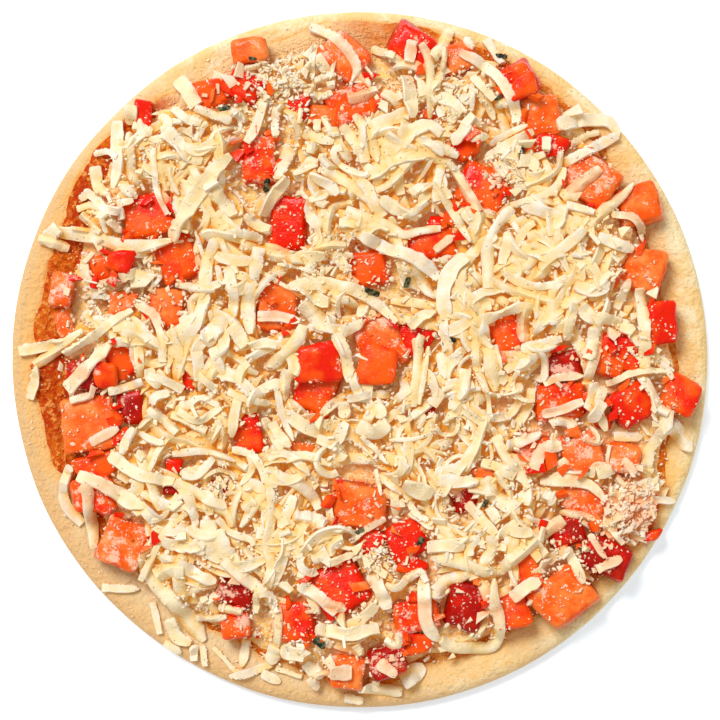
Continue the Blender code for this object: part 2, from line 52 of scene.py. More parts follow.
bpy.ops.object.camera_add(location=(0, 0, CAMERA_HEIGHT))
camera = bpy.context.object
camera.name = "camera_above"
camera.data.sensor_width = SENSOR
camera.data.lens = SENSOR * (CAMERA_HEIGHT - 4 * MM) / (PICTURE_SIDE * PIXEL)
camera.data.clip_start = 0.01
camera.data.clip_end = 20
bpy.context.scene.camera = camera
bpy.context.scene.view_settings.view_transform = "Standard"
bpy.context.scene.view_settings.look = "None"

bpy.ops.object.light_add(type="SUN", location=(-0.5, 0.6, 1))
sun = bpy.context.object
sun.name = "sun"
sun.rotation_euler = Vector((-0.38, 0.56, 1)).to_track_quat("Z", "Y").to_euler()
sun.data.energy = 2.5
sun.data.angle = math.radians(22)
sun.data.color = (0.94, 0.97, 1.0)

world = bpy.data.worlds.new("white_room")
bpy.context.scene.world = world
world.use_nodes = True
world.node_tree.nodes["Background"].inputs["Color"].default_value = (1, 0.91, 0.78, 1)
world.node_tree.nodes["Background"].inputs["Strength"].default_value = 0.58

bpy.ops.mesh.primitive_grid_add(x_subdivisions=12, y_subdivisions=12, size=6, location=(0, 0, -0.1 * MM))
floor = bpy.context.object
floor.name = "paper_floor"


class Socket:
    """A node's output, so that shader maths can be written as a Python expression."""

    def __init__(self, nodes, socket):
        self.nodes = nodes
        self.socket = socket

    def maths(self, operation, *values):
        return self.nodes.add("ShaderNodeMath", {"operation": operation}, dict(enumerate(values)))

    def __add__(self, other):
        return self.maths("ADD", self, other)

    __radd__ = __add__

    def __mul__(self, other):
        return self.maths("MULTIPLY", self, other)

    __rmul__ = __mul__

    def __sub__(self, other):
        return self.maths("SUBTRACT", self, other)

    def __rsub__(self, other):
        return self.maths("SUBTRACT", other, self)

    def ramp(self, low, high):
        """0 below low, 1 above high, eased between them."""
        settings = {"interpolation_type": "SMOOTHSTEP"}
        return self.nodes.add("ShaderNodeMapRange", settings, {0: self, 1: low, 2: high})


class Material:
    """A Principled material with a short way to add nodes."""

    def __init__(self, name, roughness, **fixed):
        self.made = bpy.data.materials.new(name)
        self.made.use_nodes = True
        self.tree = self.made.node_tree
        self.shader = self.tree.nodes["Principled BSDF"]
        self.shader.inputs["Roughness"].default_value = roughness
        for socket, value in fixed.items():
            self.shader.inputs[socket.replace("_", " ")].default_value = value
        self.place = self.add("ShaderNodeTexCoord", {}, {}, "Object")

    def add(self, kind, settings, values, output=0):
        node = self.tree.nodes.new(kind)
        for setting, value in settings.items():
            setattr(node, setting, value)
        for socket, value in values.items():
            if isinstance(value, Socket):
                self.tree.links.new(value.socket, node.inputs[socket])
            else:
                node.inputs[socket].default_value = value
        return Socket(self, node.outputs[output])

    def noise(self, size, detail=3, roughness=0.5):
        """Soft noise with lumps of about this size in metres, from 0 to 1."""
        values = {"Vector": self.place, "Scale": 1 / size, "Detail": detail, "Roughness": roughness}
        return self.add("ShaderNodeTexNoise", {}, values)

    def cell_noise(self, scale, settings):
        """The distance to the nearest of many scattered points."""
        values = {"Vector": self.place, "Scale": scale}
        return self.add("ShaderNodeTexVoronoi", settings, values, "Distance")

    def mix(self, share, first, second):
        """Colour first where share is 0, second where it is 1."""
        values = {0: share, 6: first, 7: second}
        return self.add("ShaderNodeMix", {"data_type": "RGBA"}, values, 2)

    def attribute(self, name):
        """A number that was painted on the mesh."""
        return self.add("ShaderNodeAttribute", {"attribute_name": name}, {}, "Fac")

    def set(self, socket, value):
        self.tree.links.new(value.socket, self.shader.inputs[socket])

    def bump(self, height, distance, strength=1.0):
        values = {"Height": height, "Distance": distance, "Strength": strength}
        self.set("Normal", self.add("ShaderNodeBump", {}, values))


paper = Material("white_paper", 0.9, Emission_Color=(0.55, 0.75, 1, 1), Emission_Strength=0.4)
paper.set("Base Color", paper.mix(paper.noise(0.02), (0.91, 0.93, 0.95, 1), (0.93, 0.95, 0.97, 1)))
floor.data.materials.append(paper.made)

# The dough: a pressed round of raw wheat dough, 7 mm thick with a low, soft rim, floury, slightly uneven and
# dimpled, with painted shade towards its west side and at its edge. It is drawn out ring by ring from a small
# disc.
DOUGH_RADIUS = 140 * MM
DOUGH_THICKNESS = 7 * MM
RIM_RISE = 1.3 * MM
RIM_CREST = 7 * MM
RIM_WIDTH = 20 * MM
EDGE_ROUND = 4 * MM
AROUND = 360


def dough_top(radius, angle):
    """Height of the dough's top, for arrays of places."""
    inset = DOUGH_RADIUS - radius
    share = (inset - RIM_CREST) / (RIM_WIDTH - RIM_CREST)
    uneven = 1 + 0.12 * np.sin(3 * angle + 0.7) + 0.08 * np.sin(7 * angle)
    rise = RIM_RISE * uneven * np.cos(share * math.pi / 2) ** 2
    return DOUGH_THICKNESS + np.where(inset < RIM_WIDTH, rise, 0)


def lumps(x, y, size, seed):
    """Smooth random lumps of about this size in metres, from -1 to 1, for arrays of places."""
    table = np.random.default_rng(seed).uniform(-1, 1, (128, 128))
    u, v = x / size + 53.3, y / size + 41.7
    low_u, low_v = np.floor(u).astype(int), np.floor(v).astype(int)
    su, sv = u - low_u, v - low_v
    su, sv = su * su * (3 - 2 * su), sv * sv * (3 - 2 * sv)
    i, j, i2, j2 = low_u % 128, low_v % 128, (low_u + 1) % 128, (low_v + 1) % 128
    near = table[i, j] * (1 - su) + table[i2, j] * su
    return near * (1 - sv) + (table[i, j2] * (1 - su) + table[i2, j2] * su) * sv


def rings_from_disc(name, rings, cap_last=True):
    """A round as dough has: a small disc whose edge is drawn out through rings of radius and height."""
    radius, height = rings[0]
    bpy.ops.mesh.primitive_circle_add(vertices=AROUND, radius=radius, fill_type="NGON",
                                      location=(0, 0, height))
    made = bpy.context.object
    made.name = name
    bpy.ops.object.transform_apply()
    bpy.ops.object.mode_set(mode="EDIT")
    bpy.ops.mesh.select_mode(type="EDGE")
    bpy.ops.mesh.select_all(action="SELECT")
    bpy.ops.mesh.region_to_loop()
    for wider, higher in rings[1:]:
        bpy.ops.mesh.extrude_edges_move()
        bpy.ops.transform.resize(value=(wider / radius, wider / radius, 1), center_override=(0, 0, 0))
        bpy.ops.transform.translate(value=(0, 0, higher - height))
        radius, height = wider, higher
    if cap_last:
        bpy.ops.mesh.edge_face_add()
    bpy.ops.mesh.select_all(action="SELECT")
    bpy.ops.mesh.normals_make_consistent(inside=False)
    bpy.ops.object.mode_set(mode="OBJECT")
    bpy.ops.object.shade_smooth()
    return made


def places_of(mesh):
    """A mesh's points as an array that can be changed, and a function that puts them back."""
    flat = np.empty(len(mesh.vertices) * 3, np.float32)
    mesh.vertices.foreach_get("co", flat)
    points = flat.reshape(-1, 3).astype(np.float64)

    def put_back():
        mesh.vertices.foreach_set("co", points.astype(np.float32).ravel())
        mesh.update()

    return points, put_back


# Rings over the flat top, round the edge in a half circle, and in under the base
dough_rings = [(r * MM, DOUGH_THICKNESS) for r in (2, 40, 80, 100)]
dough_rings += [(r * MM, DOUGH_THICKNESS) for r in np.linspace(104, 136, 30)]
for turn in np.linspace(90, -90, 15)[1:]:
    slope = math.radians(turn)
    dough_rings.append((DOUGH_RADIUS - EDGE_ROUND * (1 - math.cos(slope)),
                        EDGE_ROUND * (1 + math.sin(slope))))
dough_rings.append((120 * MM, 0))
dough_rings.append((20 * MM, 0))
dough = rings_from_disc("raw_dough", dough_rings)

# The rim, the dimples and the not quite round outline
points, put_back = places_of(dough.data)
radius, angle = np.hypot(points[:, 0], points[:, 1]), np.arctan2(points[:, 1], points[:, 0])
crown = dough_top(np.minimum(radius, DOUGH_RADIUS - EDGE_ROUND), angle)
on_top = (radius <= DOUGH_RADIUS - EDGE_ROUND + 1e-6) & (points[:, 2] > 5 * MM)
edge = radius > DOUGH_RADIUS - EDGE_ROUND + 1e-6
relief = 0.32 * lumps(points[:, 0], points[:, 1], 9 * MM, 1)
relief += 0.14 * lumps(points[:, 0], points[:, 1], 3 * MM, 2)
points[on_top, 2] = (crown + relief * MM)[on_top]
points[edge, 2] = (points[:, 2] * crown / (2 * EDGE_ROUND))[edge]
wobble = 1 + 0.0022 * lumps(angle * 0.1, angle * 0, 0.022, 3) * np.clip((radius - 0.11) / 0.03, 0, 1)
points[:, :2] *= np.where(points[:, 2] > 0.2 * MM, wobble, 1)[:, None]
put_back()

# Millimetres of bare dough outside the sauce, of bare sauce outside the cheese, and of the sauce's stain in
# the dough, every 15 degrees from +X
BARE_DOUGH = (13, 16, 16, 8, 6, 5, 3, 7, 11, 3, 6, 8, 8, 10, 14, 16, 16, 14, 8, 14, 15, 11, 5, 10)
BARE_SAUCE = (3, 3, 3, 4, 3, 6, 15, 9, 3, 8, 10, 12, 14, 13, 6, 3, 3, 3, 4, 4, 4, 4, 4, 3)
STAIN_REACH = (10, 10, 12, 8, 5, 7, 5, 1, 1, 7, 9, 10, 10, 9, 3, 2, 2, 3, 8, 14, 16, 14, 11, 9)


def by_direction(table, angle):
    """A value for each angle from a table of evenly spaced directions, eased between its entries."""
    table = np.array(table, float)
    place = (angle / math.tau) % 1 * len(table)
    low = np.floor(place).astype(int)
    share = place - low
    share = share * share * (3 - 2 * share)
    return table[low % len(table)] * (1 - share) + table[(low + 1) % len(table)] * share


def sauce_edge(angle):
    """How far the sauce's ragged edge is from the middle."""
    ragged = 1.6 * lumps(angle * 0.1, angle * 0, 0.009, 4) + 0.7 * lumps(angle * 0.1, angle * 0, 0.003, 5)
    return DOUGH_RADIUS - (np.maximum(by_direction(BARE_DOUGH, angle), 2.2) - ragged) * MM


def paint(mesh, name, values):
    """Stores a number for each point of the mesh, for its material."""
    mesh.attributes.new(name, "FLOAT", "POINT").data.foreach_set("value", np.asarray(values, np.float32))


stain = np.clip(1 - (radius - sauce_edge(angle)) / (by_direction(STAIN_REACH, angle) * MM), 0, 1) * on_top
paint(dough.data, "stain", stain)

dough_look = Material("raw_dough", 0.72, Specular_IOR_Level=0.3)
FLOURY, WHEATEN = (0.98, 0.86, 0.55, 1), (0.95, 0.66, 0.27, 1)
FAR_FROM_SUN, SHADED_EDGE, BRAN = (0.80, 0.61, 0.36, 1), (0.78, 0.46, 0.20, 1), (0.88, 0.58, 0.22, 1)
OILY, SOAKED = (0.93, 0.52, 0.15, 1), (0.84, 0.34, 0.04, 1)
flattened = dough_look.add("ShaderNodeVectorMath", {"operation": "MULTIPLY"},
                           {0: dough_look.place, 1: (1, 1, 0)})
from_middle = dough_look.add("ShaderNodeVectorMath", {"operation": "LENGTH"}, {0: flattened}, "Value")
mottle = dough_look.noise(0.012, 5, 0.6)
fine = dough_look.noise(0.0016, 4, 0.6)
colour = dough_look.mix(mottle.ramp(0.38, 0.62), FLOURY, WHEATEN)
# Painted shade: the dough darker towards the west and south-west.
side = dough_look.add("ShaderNodeVectorMath", {"operation": "DOT_PRODUCT"},
                      {0: dough_look.place, 1: (-6.0, -4.0, 0)}, "Value")
side = (side + (dough_look.noise(0.03, 2) - 0.5)).ramp(-0.2, 0.7)
colour = dough_look.mix(side * 0.85, colour, FAR_FROM_SUN)
# Painted shade at the edge, where the rim curves down, mostly on the west and south-west side.
edge_shade = (from_middle + (mottle - 0.5) * 0.006).ramp(0.127, 0.139)
colour = dough_look.mix(edge_shade * (0.1 + 0.8 * side), colour, SHADED_EDGE)
colour = dough_look.mix(fine.ramp(0.44, 0.7) * 0.6, colour, BRAN)
stained = dough_look.attribute("stain") + (dough_look.noise(0.004, 4, 0.6) - 0.5) * 0.9
colour = dough_look.mix(stained.ramp(0.15, 0.7) * 0.6, colour, OILY)
colour = dough_look.mix(stained.ramp(0.8, 1.25), colour, SOAKED)
dough_look.set("Base Color", colour)
dough_look.bump(fine * 0.8 + dough_look.noise(0.005, 4, 0.6), 1.4 * MM, 1.0)
dough.data.materials.append(dough_look.made)
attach(dough, "root")
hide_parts("dough_base")

# The sauce: crushed tomato spread thin on the dough, pulpy and dark red where it is thick, thin and orange
# with oil towards its ragged edge. It is drawn out from a disc as the dough is.
SAUCE_THICKNESS = 1.2 * MM
DRAWN_RADIUS = 130
sauce_rings = [(r * MM, 9 * MM) for r in (2, 60, 80, 90)]
sauce_rings += [(r * MM, 9 * MM) for r in np.linspace(92, DRAWN_RADIUS, 44)]
sauce = rings_from_disc("tomato_sauce_layer", sauce_rings, cap_last=False)

# The rings drawn out or in to the ragged edge, and laid on the dough
points, put_back = places_of(sauce.data)
angle = np.arctan2(points[:, 1], points[:, 0])
share = np.hypot(points[:, 0], points[:, 1]) / (DRAWN_RADIUS * MM)
radius = share * sauce_edge(angle)
depth = np.clip((sauce_edge(angle) - radius) / (4 * MM), 0, 1)
x, y = radius * np.cos(angle), radius * np.sin(angle)
pulp = 0.45 * lumps(x, y, 2.6 * MM, 6) + 0.3 * lumps(x, y, 1.2 * MM, 7)
points[:, 0], points[:, 1] = x, y
points[:, 2] = dough_top(radius, angle) + MM * (-0.25 + (1.25 + pulp) * depth ** 0.6)
put_back()

# How far the sauce is let down with water and oil, every 15 degrees from +X
WATERY = (0, 0, 0, 0, 0, 0.3, 0.7, 1.6, 1.3, 0, 0, 0, 0, 0, 0, 0, 0, 0, 0.2, 0.3, 0.2, 0, 0, 0)
paint(sauce.data, "watery", by_direction(WATERY, angle))

sauce_look = Material("tomato_sauce", 0.4, Specular_IOR_Level=0.12)
THIN_SAUCE, RED_SAUCE, THICK_SAUCE = (0.88, 0.40, 0.09, 1), (0.71, 0.145, 0.004, 1), (0.52, 0.04, 0.0, 1)
PULP, JUICE_AND_OIL = (0.89, 0.37, 0.08, 1), (0.93, 0.62, 0.30, 1)
west = sauce_look.add("ShaderNodeVectorMath", {"operation": "DOT_PRODUCT"},
                      {0: sauce_look.place, 1: (-14.0, 6.0, 0)}, "Value")
west = (west + (sauce_look.noise(0.02, 2) - 0.5) * 0.8).ramp(0.75, 1.25)
thick = sauce_look.noise(0.013, 4) + sauce_look.noise(0.0022, 3) * 0.9 - 0.62 + west * 0.3
colour = sauce_look.mix(thick.ramp(0.0, 0.4), THIN_SAUCE, RED_SAUCE)
colour = sauce_look.mix(thick.ramp(0.4, 0.8), colour, THICK_SAUCE)
grainy = sauce_look.noise(0.0018, 2, 0.6).ramp(0.52, 0.62) * sauce_look.noise(0.008, 2).ramp(0.35, 0.55)
colour = sauce_look.mix(grainy * 0.8, colour, PULP)
watery = sauce_look.attribute("watery") + (sauce_look.noise(0.006, 3) - 0.5) * 0.8
colour = sauce_look.mix(watery.ramp(0.3, 1.1), colour, JUICE_AND_OIL)
sauce_look.set("Base Color", colour)
sauce_look.set("Roughness", 0.25 + 0.3 * sauce_look.noise(0.0015, 2))
sauce_look.bump(sauce_look.noise(0.0018, 2, 0.6) + 0.5 * sauce_look.noise(0.0008, 2), 1.6 * MM)
sauce.data.materials.append(sauce_look.made)
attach(sauce, "root")
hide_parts("tomato_sauce")

# The diced tomato: wet cubes of ripe tomato, cut by hand, some with their smooth red skin up and some with
# orange or pinkish flesh. Each is a copy of its solid with its edges rounded and its faces made uneven.

# One letter for each die: r red, o orange red, p pale orange, d dark red, and a capital if it is frosted
DICE_KINDS = "proorPOOrpoooopPpprooroDOOPPDPddpodprroOPDDOPOPoopoDpopPo"
die_names = sorted(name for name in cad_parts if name.startswith("tomato_die"))


def merged_copy(node, name):
    """An own copy of a CAD node, with its loose triangles merged."""
    made = node.copy()
    made.data = node.data.copy()
    made.name = name
    made.parent = None
    for key in list(made.keys()):
        del made[key]
    bpy.context.scene.collection.objects.link(made)
    bm = bmesh.new()
    bm.from_mesh(made.data)
    bmesh.ops.remove_doubles(bm, verts=bm.verts, dist=0.01 * MM)
    bm.to_mesh(made.data)
    bm.free()
    made.data.materials.clear()
    return made


# How pitted and how pale each kind of cut is
PITTED = {"r": 0.12, "d": 0.3, "o": 0.25, "p": 0.42}
PALENESS = {"r": 0.15, "d": 0.1, "o": 0.5, "p": 0.95}


def roughened(die, kind, number, swell):
    """Rounds a cut piece of tomato, makes it uneven and pulpy, and stores what its material needs."""
    finer = die.modifiers.new("finer", "SUBSURF")
    finer.subdivision_type = "SIMPLE"
    finer.levels = finer.render_levels = 2
    rounded = die.modifiers.new("rounded", "SMOOTH")
    rounded.iterations = 2
    bpy.context.view_layer.objects.active = die
    bpy.ops.object.modifier_apply(modifier="finer")
    bpy.ops.object.modifier_apply(modifier="rounded")
    points, put_back = places_of(die.data)
    middle = points.mean(axis=0)
    offset = Vector((number * 3.7, number * 1.3, 0))
    points[:] = middle + (points - middle) * swell
    out = points - middle
    out /= np.linalg.norm(out, axis=1)[:, None]
    uneven = np.array([noise.noise(Vector(p) / (5.5 * MM) + offset) for p in points])
    pitted = np.array([noise.noise(Vector(p) / (1.7 * MM) + offset) for p in points])
    points += out * ((1.1 * uneven + PITTED[kind.lower()] * pitted) * MM)[:, None]
    put_back()
    # How far down each point lies in its piece, for painted shade low on the dice.
    depth = np.clip((points[:, 2].max() - points[:, 2]) / (8 * MM), 0, 1)
    paint(die.data, "depth", depth)
    paint(die.data, "flesh", [PALENESS[kind.lower()]] * len(points))
    paint(die.data, "dark", [float(kind in "dD")] * len(points))
    paint(die.data, "frosted", [float(kind.isupper())] * len(points))
    return points


dice = []
corners_of_dice = []
for name, kind in zip(die_names, DICE_KINDS):
    die = merged_copy(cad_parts[name], "cut_" + name)
    dice.append(die)
    corners_of_dice.append(roughened(die, kind, len(dice), (1.02, 1.02, 1.01)))
die_trees = [BVHTree.FromObject(die, bpy.context.evaluated_depsgraph_get()) for die in dice]


def joined(pieces, name):
    """The pieces as one smooth object."""
    bpy.ops.object.select_all(action="DESELECT")
    for piece in pieces:
        piece.select_set(True)
    bpy.context.view_layer.objects.active = pieces[0]
    bpy.ops.object.join()
    made = bpy.context.object
    made.name = name
    made.data.materials.clear()
    bpy.ops.object.shade_smooth()
    bpy.ops.object.select_all(action="DESELECT")
    return made


tomato = joined(dice, "diced_tomato")

tomato_look = Material("wet_tomato", 0.2, Subsurface_Weight=0.12, Subsurface_Scale=0.003,
                       Subsurface_Radius=(1.0, 0.25, 0.08), Specular_IOR_Level=0.12, Coat_Weight=0.15,
                       Coat_Roughness=0.05)
SKIN, FLESH, PALE_FLESH = (0.80, 0.012, 0.0, 1), (0.93, 0.11, 0.004, 1), (0.97, 0.28, 0.06, 1)
DEEP_RED_AND_SHADE, FROST = (0.34, 0.002, 0.0, 1), (0.98, 0.60, 0.44, 1)
flesh = tomato_look.attribute("flesh")
veins = tomato_look.noise(0.007, 3, 0.55)
broad = tomato_look.noise(0.011, 2)
streaks = tomato_look.noise(0.0022, 3, 0.6)
cut = (flesh + (broad - 0.5) * 2.2 + (veins - 0.5) * 0.8).ramp(0.05, 0.75)
ripe = tomato_look.mix(cut, SKIN, FLESH)
unripe = (flesh + (broad - 0.5) * 1.2 + (veins - 0.5) * 1.2 + (streaks - 0.5) * 0.6).ramp(0.7, 1.35)
ripe = tomato_look.mix(unripe, ripe, PALE_FLESH)
dark = tomato_look.attribute("dark") * (veins.ramp(0.3, 0.6) * 0.6 + 0.3)
# Painted shade: the lower part of each die is darker red. The dark dice are dark red of their own.
shade_low_down = (tomato_look.attribute("depth") + (broad - 0.5) * 0.8).ramp(0.25, 0.9) * 0.6
ripe = tomato_look.mix(dark + shade_low_down, ripe, DEEP_RED_AND_SHADE)
frost = tomato_look.noise(0.006, 4, 0.65) + tomato_look.noise(0.001, 2) * 0.3
frost = (frost + tomato_look.attribute("frosted") * 0.09).ramp(0.75, 0.86)
ripe = tomato_look.mix(frost * 0.8, ripe, FROST)
tomato_look.set("Base Color", ripe)
tomato_look.set("Roughness", 0.12 + 0.28 * streaks)
tomato_look.bump(streaks + tomato_look.noise(0.0008, 2) * 0.4 + frost * 0.4, 0.6 * MM, 0.7)
tomato.data.materials.append(tomato_look.made)
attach(tomato, "root")
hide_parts(*die_names)

# The grated mozzarella: cold, firm shreds off a coarse grater, flat or four-sided, straight or curled, with
# broken chips and crumbs between them, dropped on in layers. Below lies a bed of pressed cheese and juice.
# A grid of heights keeps what has landed, so that each new shred comes to rest on what is under it.
CELL = 0.5 * MM
HALF_CELLS = 292


def cells(x, y):
    """The grid's rows and columns for places in metres."""
    i = np.clip(np.rint(np.asarray(x) / CELL).astype(int) + HALF_CELLS, 0, 2 * HALF_CELLS - 1)
    j = np.clip(np.rint(np.asarray(y) / CELL).astype(int) + HALF_CELLS, 0, 2 * HALF_CELLS - 1)
    return i, j


axis = (np.arange(2 * HALF_CELLS) - HALF_CELLS) * CELL
grid_x, grid_y = np.meshgrid(axis, axis, indexing="ij")
grid_radius, grid_angle = np.hypot(grid_x, grid_y), np.arctan2(grid_y, grid_x)
cheese_edge = sauce_edge(grid_angle) - by_direction(BARE_SAUCE, grid_angle) * MM
inside = cheese_edge - grid_radius
heights = np.where(grid_radius < DOUGH_RADIUS - 1 * MM, dough_top(grid_radius, grid_angle), 0)
heights += np.where(grid_radius < sauce_edge(grid_angle) - 1 * MM, SAUCE_THICKNESS, 0)
window = np.zeros_like(heights)
kept_clear = np.zeros_like(heights)

# Clumps of the heap: x, y and radius in the photograph's frame, and rise in millimetres
CLUMPS = (
    (190, 150, 70, 3.4), (300, 110, 45, 2.6), (400, 180, 75, 3.6), (545, 130, 45, 2.6), (565, 250, 80, 4.0),
    (330, 285, 60, 2.4), (200, 330, 50, 2.6), (180, 440, 60, 3.2), (440, 425, 85, 4.2), (255, 520, 70, 3.4),
    (165, 600, 45, 2.6), (490, 550, 55, 3.2), (635, 500, 40, 3.6), (330, 650, 50, 2.0), (80, 300, 40, 1.6),
)


def at(x, y):
    """A place in the photograph's frame, in metres from the middle of the pizza."""
    return (x - PICTURE_SIDE / 2) * PIXEL, (PICTURE_SIDE / 2 - y) * PIXEL


def mound(x, y, px, py, reach):
    """A soft mound round a place in the photograph's frame: 1 at its middle, less further out."""
    cx, cy = at(px, py)
    return np.exp(-((x - cx) ** 2 + (y - cy) ** 2) / (reach * PIXEL) ** 2)


def bed_rise(x, y, inset):
    """How far the bed of cheese stands above the sauce."""
    rise = 5.0 * MM + 0.9 * MM * lumps(x, y, 8 * MM, 11) + 0.35 * MM * lumps(x, y, 2.5 * MM, 12)
    for px, py, reach, height in CLUMPS:
        rise += 0.6 * height * MM * mound(x, y, px, py, reach)
    return rise * np.clip(inset / (9 * MM), 0, 1) ** 0.7


bed_heights = heights + bed_rise(grid_x, grid_y, inside)
heights = np.where(inside > 0, bed_heights, heights)


def mark(tree, points, shrink):
    """Adds a piece of tomato to the heights, and marks its middle as a window that cheese keeps off."""
    centre = points[:, :2].mean(axis=0)
    (i0, i1), (j0, j1) = cells(*np.array([points[:, :2].min(axis=0), points[:, :2].max(axis=0)]).T)
    down = Vector((0, 0, -1))
    for i in range(i0 - 2, i1 + 3):
        for j in range(j0 - 2, j1 + 3):
            hit = tree.ray_cast(Vector((axis[i], axis[j], 1)), down)[0]
            if hit:
                heights[i, j] = max(heights[i, j], hit.z)
                wide = centre + (np.array((axis[i], axis[j])) - centre) * (1 + shrink)
                window[i, j] = 1 if tree.ray_cast(Vector((*wide, 1)), down)[0] else window[i, j]


for tree, points in zip(die_trees, corners_of_dice):
    mark(tree, points, 0.12)
OPEN_PATCH = (357, 468)
open_x, open_y = at(*OPEN_PATCH)
window[(abs(grid_x - open_x) < 6 * MM) & (abs(grid_y - open_y) < 4 * MM)] = 1


def blurred(grid, reach):
    """The grid with each cell averaged with those up to a distance away."""
    span = round(reach / CELL)
    for direction in (0, 1):
        grid = sum(np.roll(grid, step, direction) for step in range(-span, span + 1)) / (2 * span + 1)
    return grid


# Juice round the tomato, and three clumps of crumbs that are pink with it, as x, y and radius
PINK_CLUMPS = ((638, 512, 34), (83, 160, 14), (690, 400, 24))
juice = blurred(blurred((heights > bed_heights + 1 * MM) * 1.0, 2 * MM), 2 * MM)
pink = sum(0.55 * mound(grid_x, grid_y, *clump) for clump in PINK_CLUMPS)
juice += pink

bed_rings = [(r, 0) for r in np.linspace(0.004, 1, 110)]
bed = rings_from_disc("cheese_bed", bed_rings, cap_last=False)

# The rings drawn out or in to the cheese's edge, and raised into clumps
points, put_back = places_of(bed.data)
angle = np.arctan2(points[:, 1], points[:, 0])
limit = sauce_edge(angle) - by_direction(BARE_SAUCE, angle) * MM
radius = np.hypot(points[:, 0], points[:, 1]) * limit
x, y = radius * np.cos(angle), radius * np.sin(angle)
base = dough_top(radius, angle) + SAUCE_THICKNESS
points[:, 0], points[:, 1] = x, y
points[:, 2] = base + bed_rise(x, y, limit - radius) - 0.4 * MM + 0.3 * MM * lumps(x, y, 1.1 * MM, 13)
put_back()
paint(bed.data, "juice", juice[cells(x, y)])

bed_look = Material("cheese_and_juice", 0.5, Specular_IOR_Level=0.25, Emission_Strength=0.09)
OLD_CHEESE, ORANGE_CHEESE, CURD = (0.95, 0.62, 0.19, 1), (0.95, 0.46, 0.16, 1), (0.95, 0.70, 0.36, 1)
TOMATO_JUICE = (0.92, 0.25, 0.07, 1)
patches = bed_look.noise(0.012, 3)
colour = bed_look.mix(patches.ramp(0.38, 0.62), OLD_CHEESE, ORANGE_CHEESE)
colour = bed_look.mix(bed_look.noise(0.0018, 3).ramp(0.45, 0.62), colour, CURD)
soaked = bed_look.attribute("juice") + (bed_look.noise(0.004, 3, 0.6) - 0.5) * 0.7
colour = bed_look.mix(soaked.ramp(0.1, 0.5) * 0.9, colour, TOMATO_JUICE)
bed_look.set("Base Color", colour)
# Painted light: the bed glows a little in its own colour, for light coming through the cheese.
bed_look.set("Emission Color", colour)
curds = bed_look.cell_noise(480, {"feature": "SMOOTH_F1"})
bed_look.bump(0.6 * bed_look.noise(0.0012, 3) - curds, 1.6 * MM)
bed.data.materials.append(bed_look.made)
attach(bed, "root")
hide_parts("grated_mozzarella")

# Small bits of tomato: the scraps that come with the dice, red or orange, half sunk between the shreds. Each
# is a bevelled cube with its corners pulled about, then roughened as the dice are.

# x, y, length along x and along y in the photograph's frame, and kind
TOMATO_BITS = (
    (146, 115, 14, 24, "r"), (434, 222, 14, 12, "r"), (431, 115, 18, 14, "p"), (522, 90, 22, 20, "r"),
    (546, 148, 36, 20, "r"), (629, 356, 12, 26, "r"), (525, 570, 22, 34, "o"), (648, 535, 18, 10, "r"),
    (368, 541, 22, 28, "r"), (415, 566, 26, 18, "r"), (416, 643, 26, 20, "o"), (65, 322, 18, 26, "p"),
    (124, 261, 26, 18, "r"), (107, 374, 20, 22, "o"), (134, 406, 22, 30, "d"), (97, 464, 40, 24, "o"),
    (174, 463, 16, 12, "r"), (190, 380, 10, 18, "r"), (126, 301, 22, 20, "p"), (325, 122, 28, 24, "p"),
    (414, 337, 32, 30, "r"), (378, 366, 44, 34, "o"), (316, 364, 34, 28, "r"), (250, 434, 24, 34, "r"),
    (304, 453, 22, 14, "p"), (175, 485, 14, 12, "d"), (220, 490, 16, 12, "d"), (430, 410, 10, 10, "d"),
    (488, 470, 26, 16, "p"), (300, 110, 16, 20, "r"), (600, 420, 16, 14, "o"),
)
rng = np.random.default_rng(7)
bits = []


def turned(flat, angle):
    """Points of a plane, turned round its origin."""
    return flat @ np.array(((math.cos(angle), math.sin(angle)), (-math.sin(angle), math.cos(angle))))


for number, (px, py, length, width, kind) in enumerate(TOMATO_BITS):
    x, y = at(px, py)
    bpy.ops.mesh.primitive_cube_add(size=1)
    bpy.ops.object.mode_set(mode="EDIT")
    bpy.ops.mesh.bevel(offset=0.12, segments=1, affect="EDGES")
    bpy.ops.object.mode_set(mode="OBJECT")
    bit = bpy.context.object
    points, put_back = places_of(bit.data)
    points *= np.array((length * PIXEL, width * PIXEL, 7 * MM)) * 1.15
    corner = np.sign(points[:, 0]) + 2 * np.sign(points[:, 1])
    for value in (-3, -1, 1, 3):
        points[corner == value, :2] += rng.uniform(-0.18, 0.18, 2) * length * PIXEL
        points[(corner == value) & (points[:, 2] > 0), 2] += rng.uniform(-1, 1) * MM
    points[:, :2] = turned(points[:, :2], rng.normal(0, 0.25))
    points += (x, y, heights[cells(x, y)] + 2 * MM)
    put_back()
    points = roughened(bit, kind, 100 + number, (1, 1, 1))
    mark(BVHTree.FromObject(bit, bpy.context.evaluated_depsgraph_get()), points, 0.2)
    bits.append(bit)
bits = joined(bits, "bits_of_tomato")
bits.data.materials.append(tomato_look.made)
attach(bits, "root")
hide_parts("grated_mozzarella")


